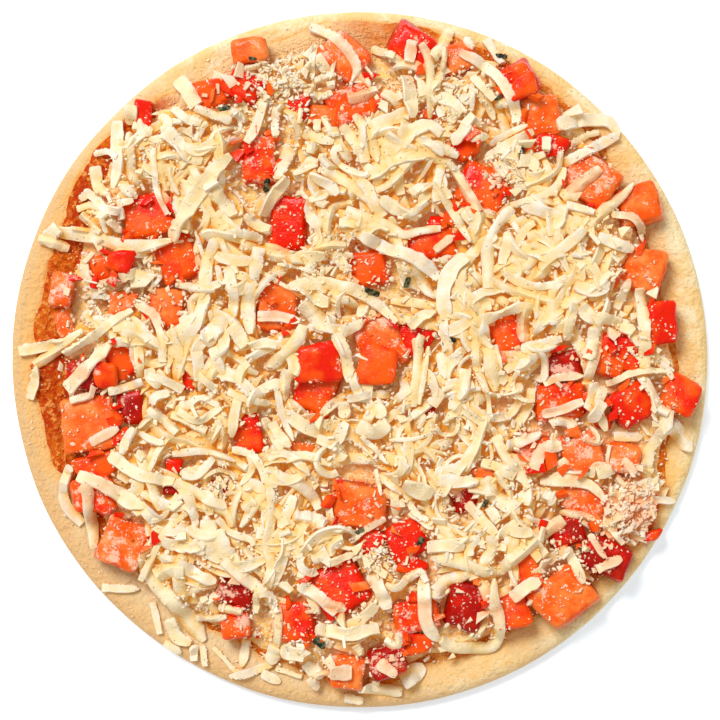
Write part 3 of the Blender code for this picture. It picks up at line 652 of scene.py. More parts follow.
# The shreds: firm strips of mozzarella off the grater, flat or four-sided, with blunt or torn ends. Each
# model is drawn out of a flattened round, and its copies are bent along their plans and laid on what has
# landed.
def drawn_out(steps, crown):
    """One straight shred, a metre long, wide and thick, as points and faces."""
    bpy.ops.mesh.primitive_circle_add(vertices=8, radius=0.5, fill_type="NGON", location=(-0.5, 0, 0),
                                      rotation=(0, math.pi / 2, 0))
    made = bpy.context.object
    bpy.ops.object.transform_apply()
    bpy.ops.object.mode_set(mode="EDIT")
    bpy.ops.mesh.select_mode(type="FACE")
    bpy.ops.mesh.select_all(action="SELECT")
    for _ in range(steps):
        bpy.ops.mesh.extrude_region_move(TRANSFORM_OT_translate={"value": (1 / steps, 0, 0)})
    bpy.ops.mesh.select_all(action="SELECT")
    bpy.ops.mesh.normals_make_consistent(inside=False)
    bpy.ops.object.mode_set(mode="OBJECT")
    points, put_back = places_of(made.data)
    corner = (abs(points[:, 1]) > 0.1) & (abs(points[:, 2]) > 0.1)
    points[corner, 1:] = np.sign(points[corner, 1:]) * (0.44, crown)
    faces = [list(face.vertices) for face in made.data.polygons]
    bpy.data.objects.remove(made)
    return points, faces


class Kind:
    """All copies of one model, joined into one mesh. A pale kind takes less of the painted shade and tone of
    the heap.
    """

    def __init__(self, name, model, pale=0.0):
        self.name = name
        self.model, self.faces = model
        self.pale = pale
        self.points = []
        self.shades = []

    def add(self, points, shade):
        self.points.append(points)
        self.shades.append(shade)

    def make(self, look, slot="mozzarella"):
        """Builds the mesh, and stores what the materials need: depth in the heap for painted shade, juice,
        shade and rim.
        """
        count = len(self.points)
        points = np.concatenate(self.points).astype(np.float32)
        points[:, 2] = np.maximum(points[:, 2], 0)
        sizes = np.array([len(f) for f in self.faces])
        loops = np.concatenate(self.faces)
        step = len(self.model)
        all_loops = (loops[None, :] + step * np.arange(count)[:, None]).ravel()
        all_sizes = np.tile(sizes, count)
        starts = np.concatenate([[0], np.cumsum(all_sizes)[:-1]])
        mesh = bpy.data.meshes.new(self.name)
        mesh.vertices.add(len(points))
        mesh.vertices.foreach_set("co", points.ravel())
        mesh.loops.add(len(all_loops))
        mesh.loops.foreach_set("vertex_index", all_loops.astype(np.int32))
        mesh.polygons.add(len(all_sizes))
        mesh.polygons.foreach_set("loop_start", starts.astype(np.int32))
        mesh.update(calc_edges=True)
        mesh.validate()
        mesh.shade_smooth()
        mesh.set_sharp_from_angle(angle=math.radians(50))
        i, j = cells(points[:, 0], points[:, 1])
        # Painted shade: how far each point lies below the blurred top of the heap, so that deeper points are
        # painted yellower and glow.
        recess_shade = np.clip((crowd[i, j] + 0.6 * MM - points[:, 2]) / (4 * MM), 0, 1)
        paint(mesh, "recess_shade", recess_shade * (1 - self.pale))
        paint(mesh, "juice", (juice + pink)[i, j])
        paint(mesh, "shade", np.repeat(self.shades, step) * (1 - self.pale))
        paint(mesh, "flesh", np.repeat(self.shades, step))
        paint(mesh, "rim", np.tile(np.clip(2 * abs(self.model[:, 1]), 0, 1), count))
        made = bpy.data.objects.new(self.name, mesh)
        bpy.context.scene.collection.objects.link(made)
        mesh.materials.append(look)
        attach(made, "root")
        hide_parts("grated_mozzarella")


long_shreds = Kind("long_shreds", drawn_out(16, 0.34))
short_shreds = Kind("short_shreds", drawn_out(8, 0.36))
torn_shreds = Kind("torn_shreds", drawn_out(30, 0.34))


def smoothed(path, spacing):
    """Evenly spaced points on a smooth curve through the path's points."""
    path = np.asarray(path, float)
    ends = np.concatenate([[2 * path[0] - path[1]], path, [2 * path[-1] - path[-2]]])
    pieces = []
    for a, b, c, d in zip(ends, ends[1:], ends[2:], ends[3:]):
        t = np.linspace(0, 1, 12, endpoint=False)[:, None]
        pieces.append(0.5 * (2 * b + (c - a) * t + (2 * a - 5 * b + 4 * c - d) * t ** 2
                             + (3 * b - a - 3 * c + d) * t ** 3))
    curve = np.concatenate([*pieces, [path[-1]]])
    along = np.concatenate([[0], np.cumsum(np.linalg.norm(np.diff(curve, axis=0), axis=1))])
    even = np.linspace(0, along[-1], max(6, int(along[-1] / spacing)))
    return np.stack([np.interp(even, along, curve[:, k]) for k in (0, 1)], axis=1)


def wander(x, y, length, bend):
    """The plan of a shred dropped at a place: a line that bends one way or the other."""
    count = 9
    turn = rng.uniform(0, math.tau)
    bends = rng.normal(0, bend) + rng.normal(0, bend * 0.6, count)
    headings = turn + np.cumsum(bends)
    steps = np.stack([np.cos(headings), np.sin(headings)], axis=1) * length / count
    path = np.concatenate([[(0, 0)], np.cumsum(steps, axis=0)])
    return path - path.mean(axis=0) + (x, y)


PATH_STEP = 0.5 * MM
PILE_TOP = 22.5 * MM
SAG = 0.08 * MM
SOFT = np.hanning(11)[1:-1]
EVEN = np.ones(9)


def eased(line, weights):
    """A line of values, each averaged with its neighbours."""
    return np.convolve(np.pad(line, 4, mode="edge"), weights / weights.sum(), mode="valid")


def settle(rest, thickness):
    """Heights along a stiff shred: on its highest rests, bridging between them, pressed down where piled."""
    rest = np.where(rest > PILE_TOP, PILE_TOP + (rest - PILE_TOP) * 0.45, rest) - 0.15 * thickness
    low = rest.copy()
    for _ in range(4):
        low = np.maximum(rest, eased(low, SOFT) - SAG)
    return eased(low, SOFT)


def lay(kind, plan, width, thickness, tilt=0.0, twist=0.0, arch=0.0, ragged=0.0, keep=False):
    """Lays a shred along its plan, on what has landed before, and adds it to the grid of heights.

    It rolls over by tilt and turns by twist along its length, in radians. It bows up by arch, one side is
    ragged, and later shreds keep off it if keep is set.
    """
    path = smoothed(plan, PATH_STEP)
    count = len(path)
    ahead = np.gradient(path, axis=0)
    ahead /= np.linalg.norm(ahead, axis=1)[:, None] + 1e-9
    across = np.stack([-ahead[:, 1], ahead[:, 0]], axis=1)
    share = np.linspace(0, 1, count)

    # How high it rests, and how it rolls over on a slope
    narrow = math.cos(tilt)
    offsets = np.array((-0.42, -0.2, 0, 0.2, 0.42)) * width * narrow
    spots = path[:, None, :] + across[:, None, :] * offsets[None, :, None]
    under = heights[cells(spots[:, :, 0], spots[:, :, 1])]
    low = settle(0.75 * under.max(axis=1) + 0.25 * under.mean(axis=1), thickness)
    low += arch * np.sin(math.pi * share)
    slope = np.clip((under[:, 4] - under[:, 0]) / (0.84 * width * narrow), -0.6, 0.6)
    roll = np.arctan(eased(slope, EVEN)) * 0.7
    roll += tilt + twist * (share - 0.5)
    knots = np.linspace(0, 1, max(3, round(count / 14)))
    roll += np.interp(share, knots, rng.normal(0, 0.3, len(knots)))
    middle = low + thickness / 2 + np.abs(np.sin(roll)) * width * 0.3
    middle += np.interp(share, knots, rng.uniform(-0.3, 0.5, len(knots))) * MM

    # The model, bent along that line, narrower at its ends
    u = kind.model[:, 0] + 0.5
    steps = np.arange(count)
    place = u * (count - 1)
    centre = np.stack([np.interp(place, steps, line) for line in (path[:, 0], path[:, 1], middle)], axis=1)
    side = np.stack([np.interp(place, steps, across[:, k]) for k in (0, 1)], axis=1)
    turn = np.interp(place, steps, roll)
    rise = np.interp(place, steps, np.gradient(middle) / PATH_STEP)
    lean = np.stack([-side[:, 1] * rise, side[:, 0] * rise, np.ones(len(u))], axis=1)
    lean /= np.linalg.norm(lean, axis=1)[:, None]
    flat = np.concatenate([side, np.zeros((len(u), 1))], axis=1)
    outward = flat * np.cos(turn)[:, None] + lean * np.sin(turn)[:, None]
    upward = lean * np.cos(turn)[:, None] - flat * np.sin(turn)[:, None]
    blunt, sharp = rng.uniform(0.1, 0.4), rng.uniform(0.1, 0.8)
    taper = 1 - blunt * np.clip(1 - u / 0.06, 0, 1) - sharp * np.clip((u - 0.72) / 0.28, 0, 1) ** 2
    uneven = 1 + 0.14 * np.interp(u, np.linspace(0, 1, 6), rng.uniform(-1, 1, 6))
    wide = kind.model[:, 1] * width * taper * uneven
    wide += ragged * rng.uniform(-1, 1, len(u)) * (kind.model[:, 1] > 0)
    tall = kind.model[:, 2] * thickness * (0.6 + 0.4 * taper)
    tall += rng.normal(0, 0.7) * width * (kind.model[:, 1] * taper) ** 2
    kind.add(centre + outward * wide[:, None] + upward * tall[:, None], rng.random())

    # What it adds to the heights
    offsets = np.linspace(-0.5, 0.5, 11) * width
    spots = path[:, None, :] + across[:, None, :] * (offsets[None, :, None] * np.cos(roll)[:, None, None])
    top = middle[:, None] + thickness * 0.42 + np.sin(roll)[:, None] * offsets[None, :]
    i, j = cells(spots[:, :, 0], spots[:, :, 1])
    np.maximum.at(heights, (i, j), top)
    if keep:
        kept_clear[i, j] = 1


def hides(plan, most, mask):
    """Whether more than this share of a plan lies where the mask is set."""
    i, j = cells(plan[:, 0], plan[:, 1])
    return mask[i, j].mean() > most


def drop(kind, count, lengths, widths, thicknesses, bend, margin, avoid_kept=False):
    """Drops shreds at random places that don't hide the dice, a margin inside the cheese's edge."""
    landed, tries = 0, 0
    while landed < count and tries < count * 30:
        tries += 1
        angle, share = rng.uniform(0, math.tau), math.sqrt(rng.random())
        way = np.array(angle)
        limit = float(sauce_edge(way) - by_direction(BARE_SAUCE, way) * MM) - margin
        x, y = limit * share * math.cos(angle), limit * share * math.sin(angle)
        plan = wander(x, y, rng.uniform(*lengths), bend)
        if (np.hypot(plan[:, 0], plan[:, 1]) > DOUGH_RADIUS - 4 * MM).any():
            continue
        i, j = cells(plan[:, 0], plan[:, 1])
        if (inside[i, j] < margin - 5 * MM).any() or hides(plan, 0.0, window):
            continue
        if avoid_kept and hides(plan, 0.15, kept_clear):
            continue
        ragged = rng.uniform(0.3, 0.7) * MM if kind is torn_shreds else 0.1 * MM
        lay(kind, plan, rng.uniform(*widths), rng.uniform(*thicknesses), tilt=rng.normal(0, 0.3),
            twist=rng.normal(0, 0.7), arch=max(0, rng.normal(0, 0.6)) * MM, ragged=ragged)
        landed += 1


# Widths and thicknesses of the shreds, least and most
RIBBON = ((3.2 * MM, 5.6 * MM), (1.5 * MM, 2.5 * MM))
THIN = ((1.4 * MM, 2.3 * MM), (1.1 * MM, 1.7 * MM))

# The shreds that lie on top, in the photograph's frame: width, then the points of the plan
TOP_SHREDS = (
    (14, 175, 241, 197, 200, 219, 170, 232, 158), (12, 52, 232, 95, 238, 127, 247, 155, 246, 174, 241),
    (11, 20, 352, 50, 345, 85, 335), (10, 35, 365, 60, 350, 86, 332), (9, 67, 353, 100, 333, 135, 311),
    (14, 70, 389, 90, 368, 113, 344), (9, 32, 399, 36, 382, 38, 366),
    (10, 116, 329, 132, 326, 140, 340, 143, 371, 145, 379), (9, 138, 303, 155, 315, 164, 335, 165, 362),
    (12, 218, 240, 209, 262, 207, 280, 203, 300), (9, 203, 294, 193, 304, 196, 326, 181, 378),
    (9, 111, 391, 129, 387, 145, 381), (13, 150, 414, 166, 432, 189, 440, 210, 450, 231, 459, 248, 468),
    (7, 174, 453, 202, 450, 222, 454, 236, 460), (12, 113, 454, 135, 470, 154, 477, 177, 481),
    (9, 93, 442, 121, 427), (8, 73, 401, 95, 395), (11, 72, 467, 66, 486, 67, 505, 84, 523),
    (15, 81, 475, 103, 483, 125, 496, 150, 506), (12, 84, 484, 91, 490, 92, 510, 96, 545),
    (20, 148, 566, 163, 588, 182, 612, 205, 640), (7, 153, 601, 157, 617, 161, 633),
    (8, 103, 587, 120, 588, 140, 588), (18, 210, 518, 212, 540, 222, 560),
    (8, 144, 491, 161, 499, 177, 506, 189, 505, 196, 514, 197, 530),
    (10, 177, 481, 198, 491, 217, 505, 230, 514, 232, 525),
    (11, 310, 28, 329, 36, 346, 52, 357, 70, 352, 84), (11, 412, 44, 408, 66),
    (14, 404, 79, 408, 98, 412, 121), (9, 421, 48, 428, 63, 430, 91, 429, 121),
    (12, 449, 31, 441, 48, 433, 62), (12, 348, 101, 362, 98, 377, 93), (10, 304, 135, 318, 140, 334, 145),
    (7, 342, 150, 334, 153, 337, 163, 349, 173, 363, 178, 369, 175),
    (12, 322, 171, 341, 181, 355, 190, 369, 201, 383, 219), (7, 367, 196, 386, 188, 402, 173),
    (11, 402, 173, 414, 161, 431, 159, 448, 168, 466, 195, 478, 217, 476, 228, 470, 244),
    (8, 432, 185, 453, 216, 469, 243), (8, 327, 239, 329, 219, 335, 208, 353, 205),
    (11, 346, 212, 368, 221, 388, 229, 403, 235, 420, 231, 440, 230), (13, 292, 147, 285, 163, 276, 181),
    (9, 266, 101, 261, 116, 255, 133, 248, 145), (9, 279, 107, 276, 122, 276, 139),
    (12, 287, 180, 273, 197, 262, 216), (13, 398, 140, 414, 133, 428, 129, 440, 137),
    (9, 419, 140, 431, 149, 442, 158),
    (10, 459, 56, 472, 62, 486, 72, 498, 82, 506, 94, 513, 110, 515, 126),
    (14, 555, 128, 577, 122, 605, 122, 615, 131, 617, 138), (10, 560, 166, 584, 154, 603, 143, 617, 136),
    (11, 485, 160, 500, 152, 516, 142, 531, 134), (12, 560, 201, 576, 188, 589, 178, 598, 171),
    (11, 586, 229, 598, 216, 615, 200, 631, 185), (7, 610, 216, 629, 218, 639, 228, 640, 241),
    (13, 520, 205, 545, 215, 565, 223, 584, 231),
    (7, 562, 170, 556, 186, 542, 197, 521, 204, 506, 209, 497, 219), (8, 476, 96, 486, 107, 493, 122),
    (12, 638, 289, 641, 330, 642, 372), (10, 576, 255, 592, 273, 597, 291),
    (13, 503, 275, 522, 266, 540, 251, 564, 245), (15, 539, 272, 550, 260, 571, 245, 583, 231),
    (7, 532, 287, 555, 286, 571, 276), (11, 477, 322, 500, 314, 525, 305),
    (13, 526, 303, 522, 322, 522, 342), (12, 595, 238, 613, 245, 630, 251),
    (12, 592, 318, 613, 322, 630, 333), (9, 613, 310, 627, 280), (8, 542, 384, 557, 377, 581, 376),
    (10, 540, 413, 562, 409, 581, 402), (12, 591, 383, 591, 399, 584, 409),
    (9, 601, 388, 595, 406, 604, 430), (6, 605, 384, 635, 372, 664, 372),
    (15, 664, 418, 680, 436, 690, 451), (5, 580, 428, 587, 425, 596, 435, 594, 442, 581, 438),
    (9, 612, 436, 641, 436), (13, 489, 347, 490, 369, 494, 391), (4, 494, 345, 500, 368),
    (13, 260, 249, 257, 267, 256, 281), (13, 253, 284, 249, 306, 252, 334),
    (12, 291, 287, 319, 284, 340, 287, 361, 294, 382, 309, 396, 323), (10, 259, 317, 278, 317, 301, 322),
    (13, 361, 236, 382, 247, 403, 256, 424, 265, 438, 280), (14, 466, 259, 452, 270, 445, 289, 444, 321),
    (17, 304, 303, 316, 315, 326, 332), (12, 266, 367, 287, 354, 297, 341, 304, 326),
    (11, 335, 334, 346, 355, 349, 382), (12, 287, 370, 284, 400), (10, 416, 338, 421, 378),
    (9, 421, 336, 418, 350, 413, 406), (5, 428, 347, 424, 371, 418, 404), (8, 401, 376, 410, 400),
    (6, 379, 474, 392, 485, 406, 494, 414, 511, 428, 519), (15, 372, 571, 380, 588, 387, 606),
    (13, 316, 628, 345, 630, 378, 627), (12, 423, 577, 424, 596, 425, 617, 434, 634, 442, 637),
    (12, 441, 637, 452, 645, 470, 647, 489, 646, 497, 636, 497, 617, 493, 598, 493, 578),
    (12, 434, 589, 446, 578, 466, 572),
    (11, 432, 554, 451, 558, 468, 564, 484, 570, 501, 567, 510, 550, 514, 536), (12, 362, 688, 402, 690),
    (11, 300, 582, 319, 595, 336, 611), (9, 268, 592, 277, 607, 278, 631, 273, 662),
    (9, 325, 599, 346, 607), (11, 539, 480, 564, 479, 587, 484, 603, 498),
    (15, 508, 560, 520, 550, 540, 532, 561, 517), (10, 564, 546, 573, 563, 581, 581),
    (6, 587, 532, 602, 556), (12, 511, 596, 524, 585, 538, 578), (9, 595, 568, 610, 560, 619, 556),
    (12, 134, 107, 132, 126), (10, 135, 129, 155, 135), (11, 119, 122, 119, 144, 122, 165, 116, 190),
    (9, 131, 135, 132, 160, 135, 178, 147, 193), (6, 156, 151, 158, 183, 162, 199, 170, 216),
    (7, 164, 156, 166, 178, 169, 193), (6, 172, 170, 174, 183, 181, 197),
    (16, 167, 135, 180, 150, 193, 163), (10, 186, 151, 201, 154, 217, 144),
    (9, 175, 111, 189, 122, 203, 126), (16, 178, 80, 188, 92, 198, 109), (8, 197, 111, 210, 116, 222, 121),
    (7, 197, 144, 204, 130, 209, 126), (6, 95, 155, 109, 153, 120, 159), (12, 96, 167, 100, 189, 111, 196),
    (8, 81, 200, 90, 194, 101, 202, 109, 211, 123, 212, 125, 221), (7, 78, 210, 92, 206, 104, 211),
    (9, 82, 215, 92, 223, 104, 233), (5, 104, 218, 109, 234), (7, 111, 222, 123, 234),
    (7, 120, 206, 136, 202), (14, 60, 228, 47, 241), (10, 40, 240, 57, 244, 70, 249),
    (8, 371, 50, 386, 56, 394, 60), (10, 343, 129, 353, 143, 362, 156), (10, 355, 117, 369, 140, 378, 165),
    (8, 366, 123, 378, 133), (10, 388, 142, 386, 156, 394, 172), (9, 378, 132, 393, 123, 402, 116),
    (7, 324, 119, 331, 133, 336, 139), (6, 313, 80, 313, 67, 315, 48), (6, 315, 84, 327, 79, 336, 77),
    (8, 317, 122, 318, 134), (4, 301, 111, 300, 126), (8, 290, 119, 298, 135, 299, 149),
    (5, 304, 180, 304, 194, 310, 202), (7, 310, 202, 324, 199, 329, 189), (5, 294, 177, 307, 171, 318, 168),
    (9, 220, 119, 232, 124), (14, 215, 191, 225, 205, 235, 218), (11, 218, 214, 232, 228, 241, 232),
    (9, 228, 236, 242, 235, 263, 240), (10, 486, 40, 493, 51, 502, 65), (8, 465, 41, 471, 51),
    (7, 471, 87, 469, 115), (8, 471, 80, 483, 93, 492, 103), (12, 437, 101, 448, 104, 461, 115),
    (9, 494, 107, 506, 106), (6, 489, 146, 503, 138, 525, 128), (8, 469, 141, 486, 139),
    (9, 545, 139, 544, 153), (6, 570, 146, 587, 136, 598, 134),
    (7, 559, 155, 556, 169, 548, 177, 534, 184, 523, 188), (8, 563, 208, 579, 212, 591, 215),
    (13, 511, 210, 497, 227, 487, 249, 486, 272, 487, 289), (10, 434, 146, 457, 159),
    (12, 380, 202, 397, 211, 418, 219), (11, 525, 239, 543, 235, 562, 234), (6, 536, 296, 534, 319),
    (12, 552, 300, 549, 325), (11, 570, 308, 564, 340), (10, 462, 303, 466, 317, 476, 333, 491, 349),
    (10, 410, 196, 423, 187), (8, 403, 218, 414, 212, 426, 203), (9, 409, 327, 420, 318, 435, 312),
    (8, 444, 332, 466, 336), (10, 507, 238, 500, 266), (6, 453, 302, 453, 317), (8, 434, 252, 452, 237),
    (10, 519, 350, 536, 345, 559, 338), (8, 533, 349, 542, 359, 542, 378, 532, 376),
    (12, 591, 328, 590, 345, 584, 359), (6, 218, 267, 224, 284, 236, 275), (13, 232, 326, 247, 347),
    (10, 215, 348, 225, 374), (9, 228, 354, 259, 373), (8, 200, 374, 218, 390), (11, 340, 334, 363, 322),
    (6, 373, 195, 396, 183), (18, 206, 343, 216, 330, 228, 318),
    (7, 219, 517, 230, 530, 242, 535, 253, 537, 256, 543), (14, 245, 508, 256, 497),
    (8, 259, 458, 267, 477, 278, 485), (6, 267, 469, 280, 472), (22, 216, 530, 224, 548, 232, 558),
    (9, 270, 485, 273, 511, 270, 528, 268, 544, 275, 563, 287, 571),
    (7, 142, 579, 154, 556, 164, 535, 176, 521, 189, 511), (5, 151, 520, 163, 515, 171, 508),
    (12, 180, 561, 202, 574, 218, 579), (18, 158, 575, 172, 566, 186, 566),
    (9, 137, 427, 129, 440, 124, 453), (10, 195, 538, 207, 551), (9, 221, 418, 225, 432, 222, 449),
    (10, 152, 408, 167, 420, 180, 431), (8, 180, 411, 198, 419, 212, 414, 223, 407),
    (6, 188, 407, 202, 398, 221, 405), (10, 240, 398, 235, 418, 233, 436),
    (7, 229, 391, 247, 398, 270, 403), (6, 278, 390, 281, 408, 287, 425, 294, 440),
    (8, 264, 418, 270, 431, 278, 443, 285, 447), (10, 273, 422, 281, 436, 291, 446),
    (8, 233, 449, 242, 450, 254, 455, 264, 469, 267, 481),
    (12, 267, 467, 284, 476, 301, 483, 313, 494, 319, 508),
    (8, 270, 460, 281, 452, 292, 455, 303, 466, 310, 474), (11, 295, 494, 289, 509, 281, 526),
    (8, 184, 474, 200, 473, 215, 457), (13, 226, 557, 247, 577, 267, 589),
    (7, 256, 610, 259, 593, 270, 592, 278, 610), (7, 327, 561, 355, 551), (6, 351, 540, 368, 526, 385, 517),
    (10, 313, 558, 329, 550), (14, 295, 515, 326, 520), (11, 318, 438, 334, 441, 347, 422),
    (16, 358, 425, 374, 432, 388, 422), (14, 374, 401, 383, 417), (5, 361, 436, 376, 450, 388, 463),
    (4, 376, 469, 381, 494), (13, 332, 446, 347, 456), (12, 343, 401, 346, 418),
    (8, 348, 398, 369, 394, 388, 394), (20, 403, 482, 418, 488, 431, 493), (8, 427, 470, 438, 484),
    (12, 437, 478, 456, 480, 477, 481), (15, 482, 477, 494, 494, 510, 504, 517, 511),
    (10, 466, 502, 479, 516, 494, 532), (10, 486, 507, 497, 520), (12, 428, 546, 446, 543, 463, 544),
    (9, 407, 577, 420, 568, 427, 579), (14, 330, 669, 352, 669), (11, 378, 659, 396, 672),
    (16, 402, 680, 424, 665), (8, 385, 638, 396, 643, 399, 631), (6, 589, 476, 591, 465, 603, 463),
    (14, 594, 472, 609, 468), (8, 620, 458, 633, 472), (12, 662, 429, 646, 453, 644, 479),
    (8, 632, 498, 674, 501), (10, 494, 435, 504, 456, 519, 473, 526, 487),
    (10, 480, 462, 497, 466, 512, 476), (9, 494, 470, 507, 487), (6, 603, 523, 620, 543),
    (14, 536, 492, 553, 500), (12, 599, 401, 588, 421), (12, 533, 468, 540, 450, 560, 444),
    (12, 505, 446, 539, 432), (12, 171, 617, 178, 635, 192, 642), (8, 194, 645, 195, 660),
    (6, 203, 645, 206, 665), (8, 165, 642, 182, 652), (7, 197, 616, 213, 617, 228, 614),
    (8, 220, 605, 243, 610), (5, 214, 646, 224, 657, 236, 670, 248, 672), (9, 247, 638, 245, 652, 242, 666),
    (8, 272, 662, 261, 667, 246, 672, 230, 675), (14, 275, 645, 272, 663), (6, 257, 590, 258, 611),
    (15, 281, 647, 305, 651), (13, 305, 662, 322, 675), (9, 262, 672, 281, 681), (6, 276, 667, 302, 676),
    (9, 345, 696, 363, 700), (8, 309, 676, 318, 686), (8, 328, 655, 333, 664), (8, 355, 643, 361, 652),
)

# Chips, crumbs and grains: short pieces of broken shred, and dust of cheese that sticks to everything and
# lies thick in the clumps. Chips and crumbs are shreds of one step, grains are small round lumps, and each
# copy gets a shape of its own. Shards of tomato, cut off the dice, are made the same way.
chips = Kind("cheese_chips", drawn_out(1, 0.5))
crumbs = Kind("cheese_crumbs", drawn_out(1, 0.36))
bpy.ops.mesh.primitive_ico_sphere_add(subdivisions=1, radius=0.5)
grain_source = bpy.context.object
grain_model = (np.array([v.co[:] for v in grain_source.data.vertices]),
               [list(p.vertices) for p in grain_source.data.polygons])
bpy.data.objects.remove(grain_source)
grains = Kind("cheese_grains", grain_model, pale=0.75)


def scatter(kind, count, sizes, flatness, where, over_dice=0.0, lean=0.4):
    """Scatters small pieces where the given chance is high, each on what has landed before.

    Over the dice that chance is cut to the share over_dice. Each piece is tipped by about lean, in radians.
    """
    landed = 0
    while landed < count:
        angle, share = rng.uniform(0, math.tau), math.sqrt(rng.random())
        x, y = DOUGH_RADIUS * share * math.cos(angle), DOUGH_RADIUS * share * math.sin(angle)
        i, j = cells(x, y)
        chance = where(x, y) * (over_dice if window[i, j] else 1) * (0.3 if kept_clear[i, j] else 1)
        if rng.random() > chance:
            continue
        size = rng.uniform(*sizes)
        shape = kind.model * size * np.array((1, rng.uniform(0.35, 0.85), rng.uniform(*flatness)))
        for side_x, side_y in ((1, 1), (1, -1), (-1, 1), (-1, -1)):
            corner = (0.5 + side_x * kind.model[:, 0]) * (0.5 + side_y * kind.model[:, 1])
            shape[:, :2] += corner[:, None] * rng.uniform(-0.4, 0.4, 2) * size
        turn, tip = rng.uniform(0, math.tau), rng.normal(0, lean)
        shape[:, 1:] = turned(shape[:, 1:], tip)
        shape[:, :2] = turned(shape[:, :2], turn) + (x, y)
        a, b = cells(shape[:, 0], shape[:, 1])
        low = 0.5 * heights[a, b].max() + 0.5 * heights[a, b].mean()
        low = PILE_TOP + (low - PILE_TOP) * 0.6 if low > PILE_TOP else low
        shape[:, 2] += low - shape[:, 2].min() * 0.7
        kind.add(shape, rng.random())
        np.maximum.at(heights, (a, b), shape[:, 2] - 0.1 * size)
        heights[i, j] = max(heights[i, j], shape[:, 2].mean())
        landed += 1


# Where crumbs gather, and where they lie as thick as snow: x, y and radius in the photograph's frame
CRUMBLY = ((280, 78, 26), (450, 105, 22), (250, 90, 22), (90, 290, 28), (160, 290, 30), (135, 165, 24),
           (440, 395, 32), (575, 245, 34), (230, 560, 30), (638, 512, 32), (330, 260, 32), (500, 480, 34),
           (220, 400, 30), (560, 560, 30), (360, 140, 24), (620, 350, 30), (200, 602, 14), (300, 640, 20),
           (505, 170, 18), (376, 557, 12), (220, 488, 9), (83, 160, 12), (290, 560, 26), (680, 415, 22),
           (452, 520, 26), (345, 255, 22))
DUSTY = ((280, 76, 24), (638, 512, 27), (450, 105, 16), (505, 168, 14), (84, 160, 12), (690, 415, 18),
         (220, 488, 8), (376, 556, 11))


def near(clumps, elsewhere):
    """A function for the chance of crumbs at a place: high in the clumps, low in the rest of the cheese."""

    def chance(x, y):
        if inside[cells(x, y)] < -2 * MM:
            return 0.0
        return sum((0.8 * mound(x, y, *clump) for clump in clumps), elsewhere)
    return chance


def juicy(x, y):
    """The chance of a shred of tomato at a place: only round the dice."""
    i, j = cells(x, y)
    return float(0.06 < juice[i, j] and inside[i, j] > 1 * MM) * min(1, 2.5 * juice[i, j])


crumbly = near(CRUMBLY, 0.12)
shards = Kind("shards_of_tomato", drawn_out(2, 0.42))


def fill_hollows(count, sizes):
    """Crumbs that have trickled down between the shreds."""
    level = blurred(heights, 2.5 * MM)
    low = (level - heights > 0.7 * MM) & (inside > 2 * MM) & (window == 0)
    scatter(grains, count, sizes, (0.5, 0.8), lambda x, y: float(low[cells(x, y)]), lean=0.8)


def everywhere(x, y):
    """The chance of a grain at a place: fair on the cheese, slight on the bare dough."""
    return 0.6 if inside[cells(x, y)] > -4 * MM else 0.06


# What lands, from the bottom up. The traced shreds come last but for a few thin ones and the dust.
drop(short_shreds, 180, (10 * MM, 20 * MM), *RIBBON, 0.1, 3 * MM)
drop(long_shreds, 120, (20 * MM, 40 * MM), *RIBBON, 0.12, 5 * MM)
drop(torn_shreds, 70, (18 * MM, 36 * MM), *RIBBON, 0.12, 5 * MM)
scatter(shards, 110, (2.5 * MM, 5.5 * MM), (0.5, 0.8), juicy, over_dice=0.1)
scatter(chips, 140, (4 * MM, 7 * MM), (0.13, 0.2), crumbly)
drop(long_shreds, 120, (18 * MM, 40 * MM), *RIBBON, 0.15, 5 * MM)
drop(long_shreds, 40, (16 * MM, 34 * MM), *THIN, 0.22, 5 * MM)
drop(torn_shreds, 50, (18 * MM, 36 * MM), *RIBBON, 0.12, 5 * MM)
drop(short_shreds, 110, (9 * MM, 18 * MM), *RIBBON, 0.15, 3 * MM)
scatter(crumbs, 180, (2.5 * MM, 5.5 * MM), (0.25, 0.5), crumbly, lean=1)
fill_hollows(900, (1.6 * MM, 3.2 * MM))
scatter(shards, 70, (2.5 * MM, 5 * MM), (0.5, 0.8), juicy, over_dice=0.1)
for number, (width, *plan) in enumerate(TOP_SHREDS):
    path = [at(x, y) for x, y in zip(plan[::2], plan[1::2])]
    torn = number % 2 == 0
    lay(torn_shreds if torn else long_shreds, path, width * PIXEL * 1.08, rng.uniform(1.7, 2.5) * MM,
        tilt=rng.normal(0, 0.12), twist=rng.normal(0, 0.3), ragged=(0.45 if torn else 0.14) * MM, keep=True)
drop(long_shreds, 20, (14 * MM, 28 * MM), *THIN, 0.25, 5 * MM, avoid_kept=True)
drop(short_shreds, 30, (7 * MM, 15 * MM), *RIBBON, 0.2, 3 * MM, avoid_kept=True)
fill_hollows(500, (1.2 * MM, 2.4 * MM))
scatter(crumbs, 110, (2.2 * MM, 4.5 * MM), (0.25, 0.5), crumbly, lean=1)
scatter(crumbs, 60, (2.6 * MM, 4.8 * MM), (0.45, 0.65), near(DUSTY, 0), over_dice=1, lean=0.3)
scatter(crumbs, 180, (1.4 * MM, 3.2 * MM), (0.4, 0.7), near(DUSTY, 0), over_dice=1, lean=0.6)
scatter(grains, 1100, (1.0 * MM, 2.4 * MM), (0.35, 0.6), near(DUSTY, 0), over_dice=1, lean=0.5)
scatter(crumbs, 600, (1.0 * MM, 2.6 * MM), (0.35, 0.7), crumbly, over_dice=0.8, lean=1.5)
scatter(grains, 1600, (1.0 * MM, 2.0 * MM), (0.5, 0.9), crumbly, over_dice=0.3, lean=1.5)
scatter(grains, 5400, (0.45 * MM, 1.2 * MM), (0.6, 1.0), everywhere, over_dice=0.8, lean=1.5)

# The basil: a few dark green flakes of dried leaf, thin and ragged, lying on the cheese. Each is a short,
# thin shred of its own kind with a ragged side.

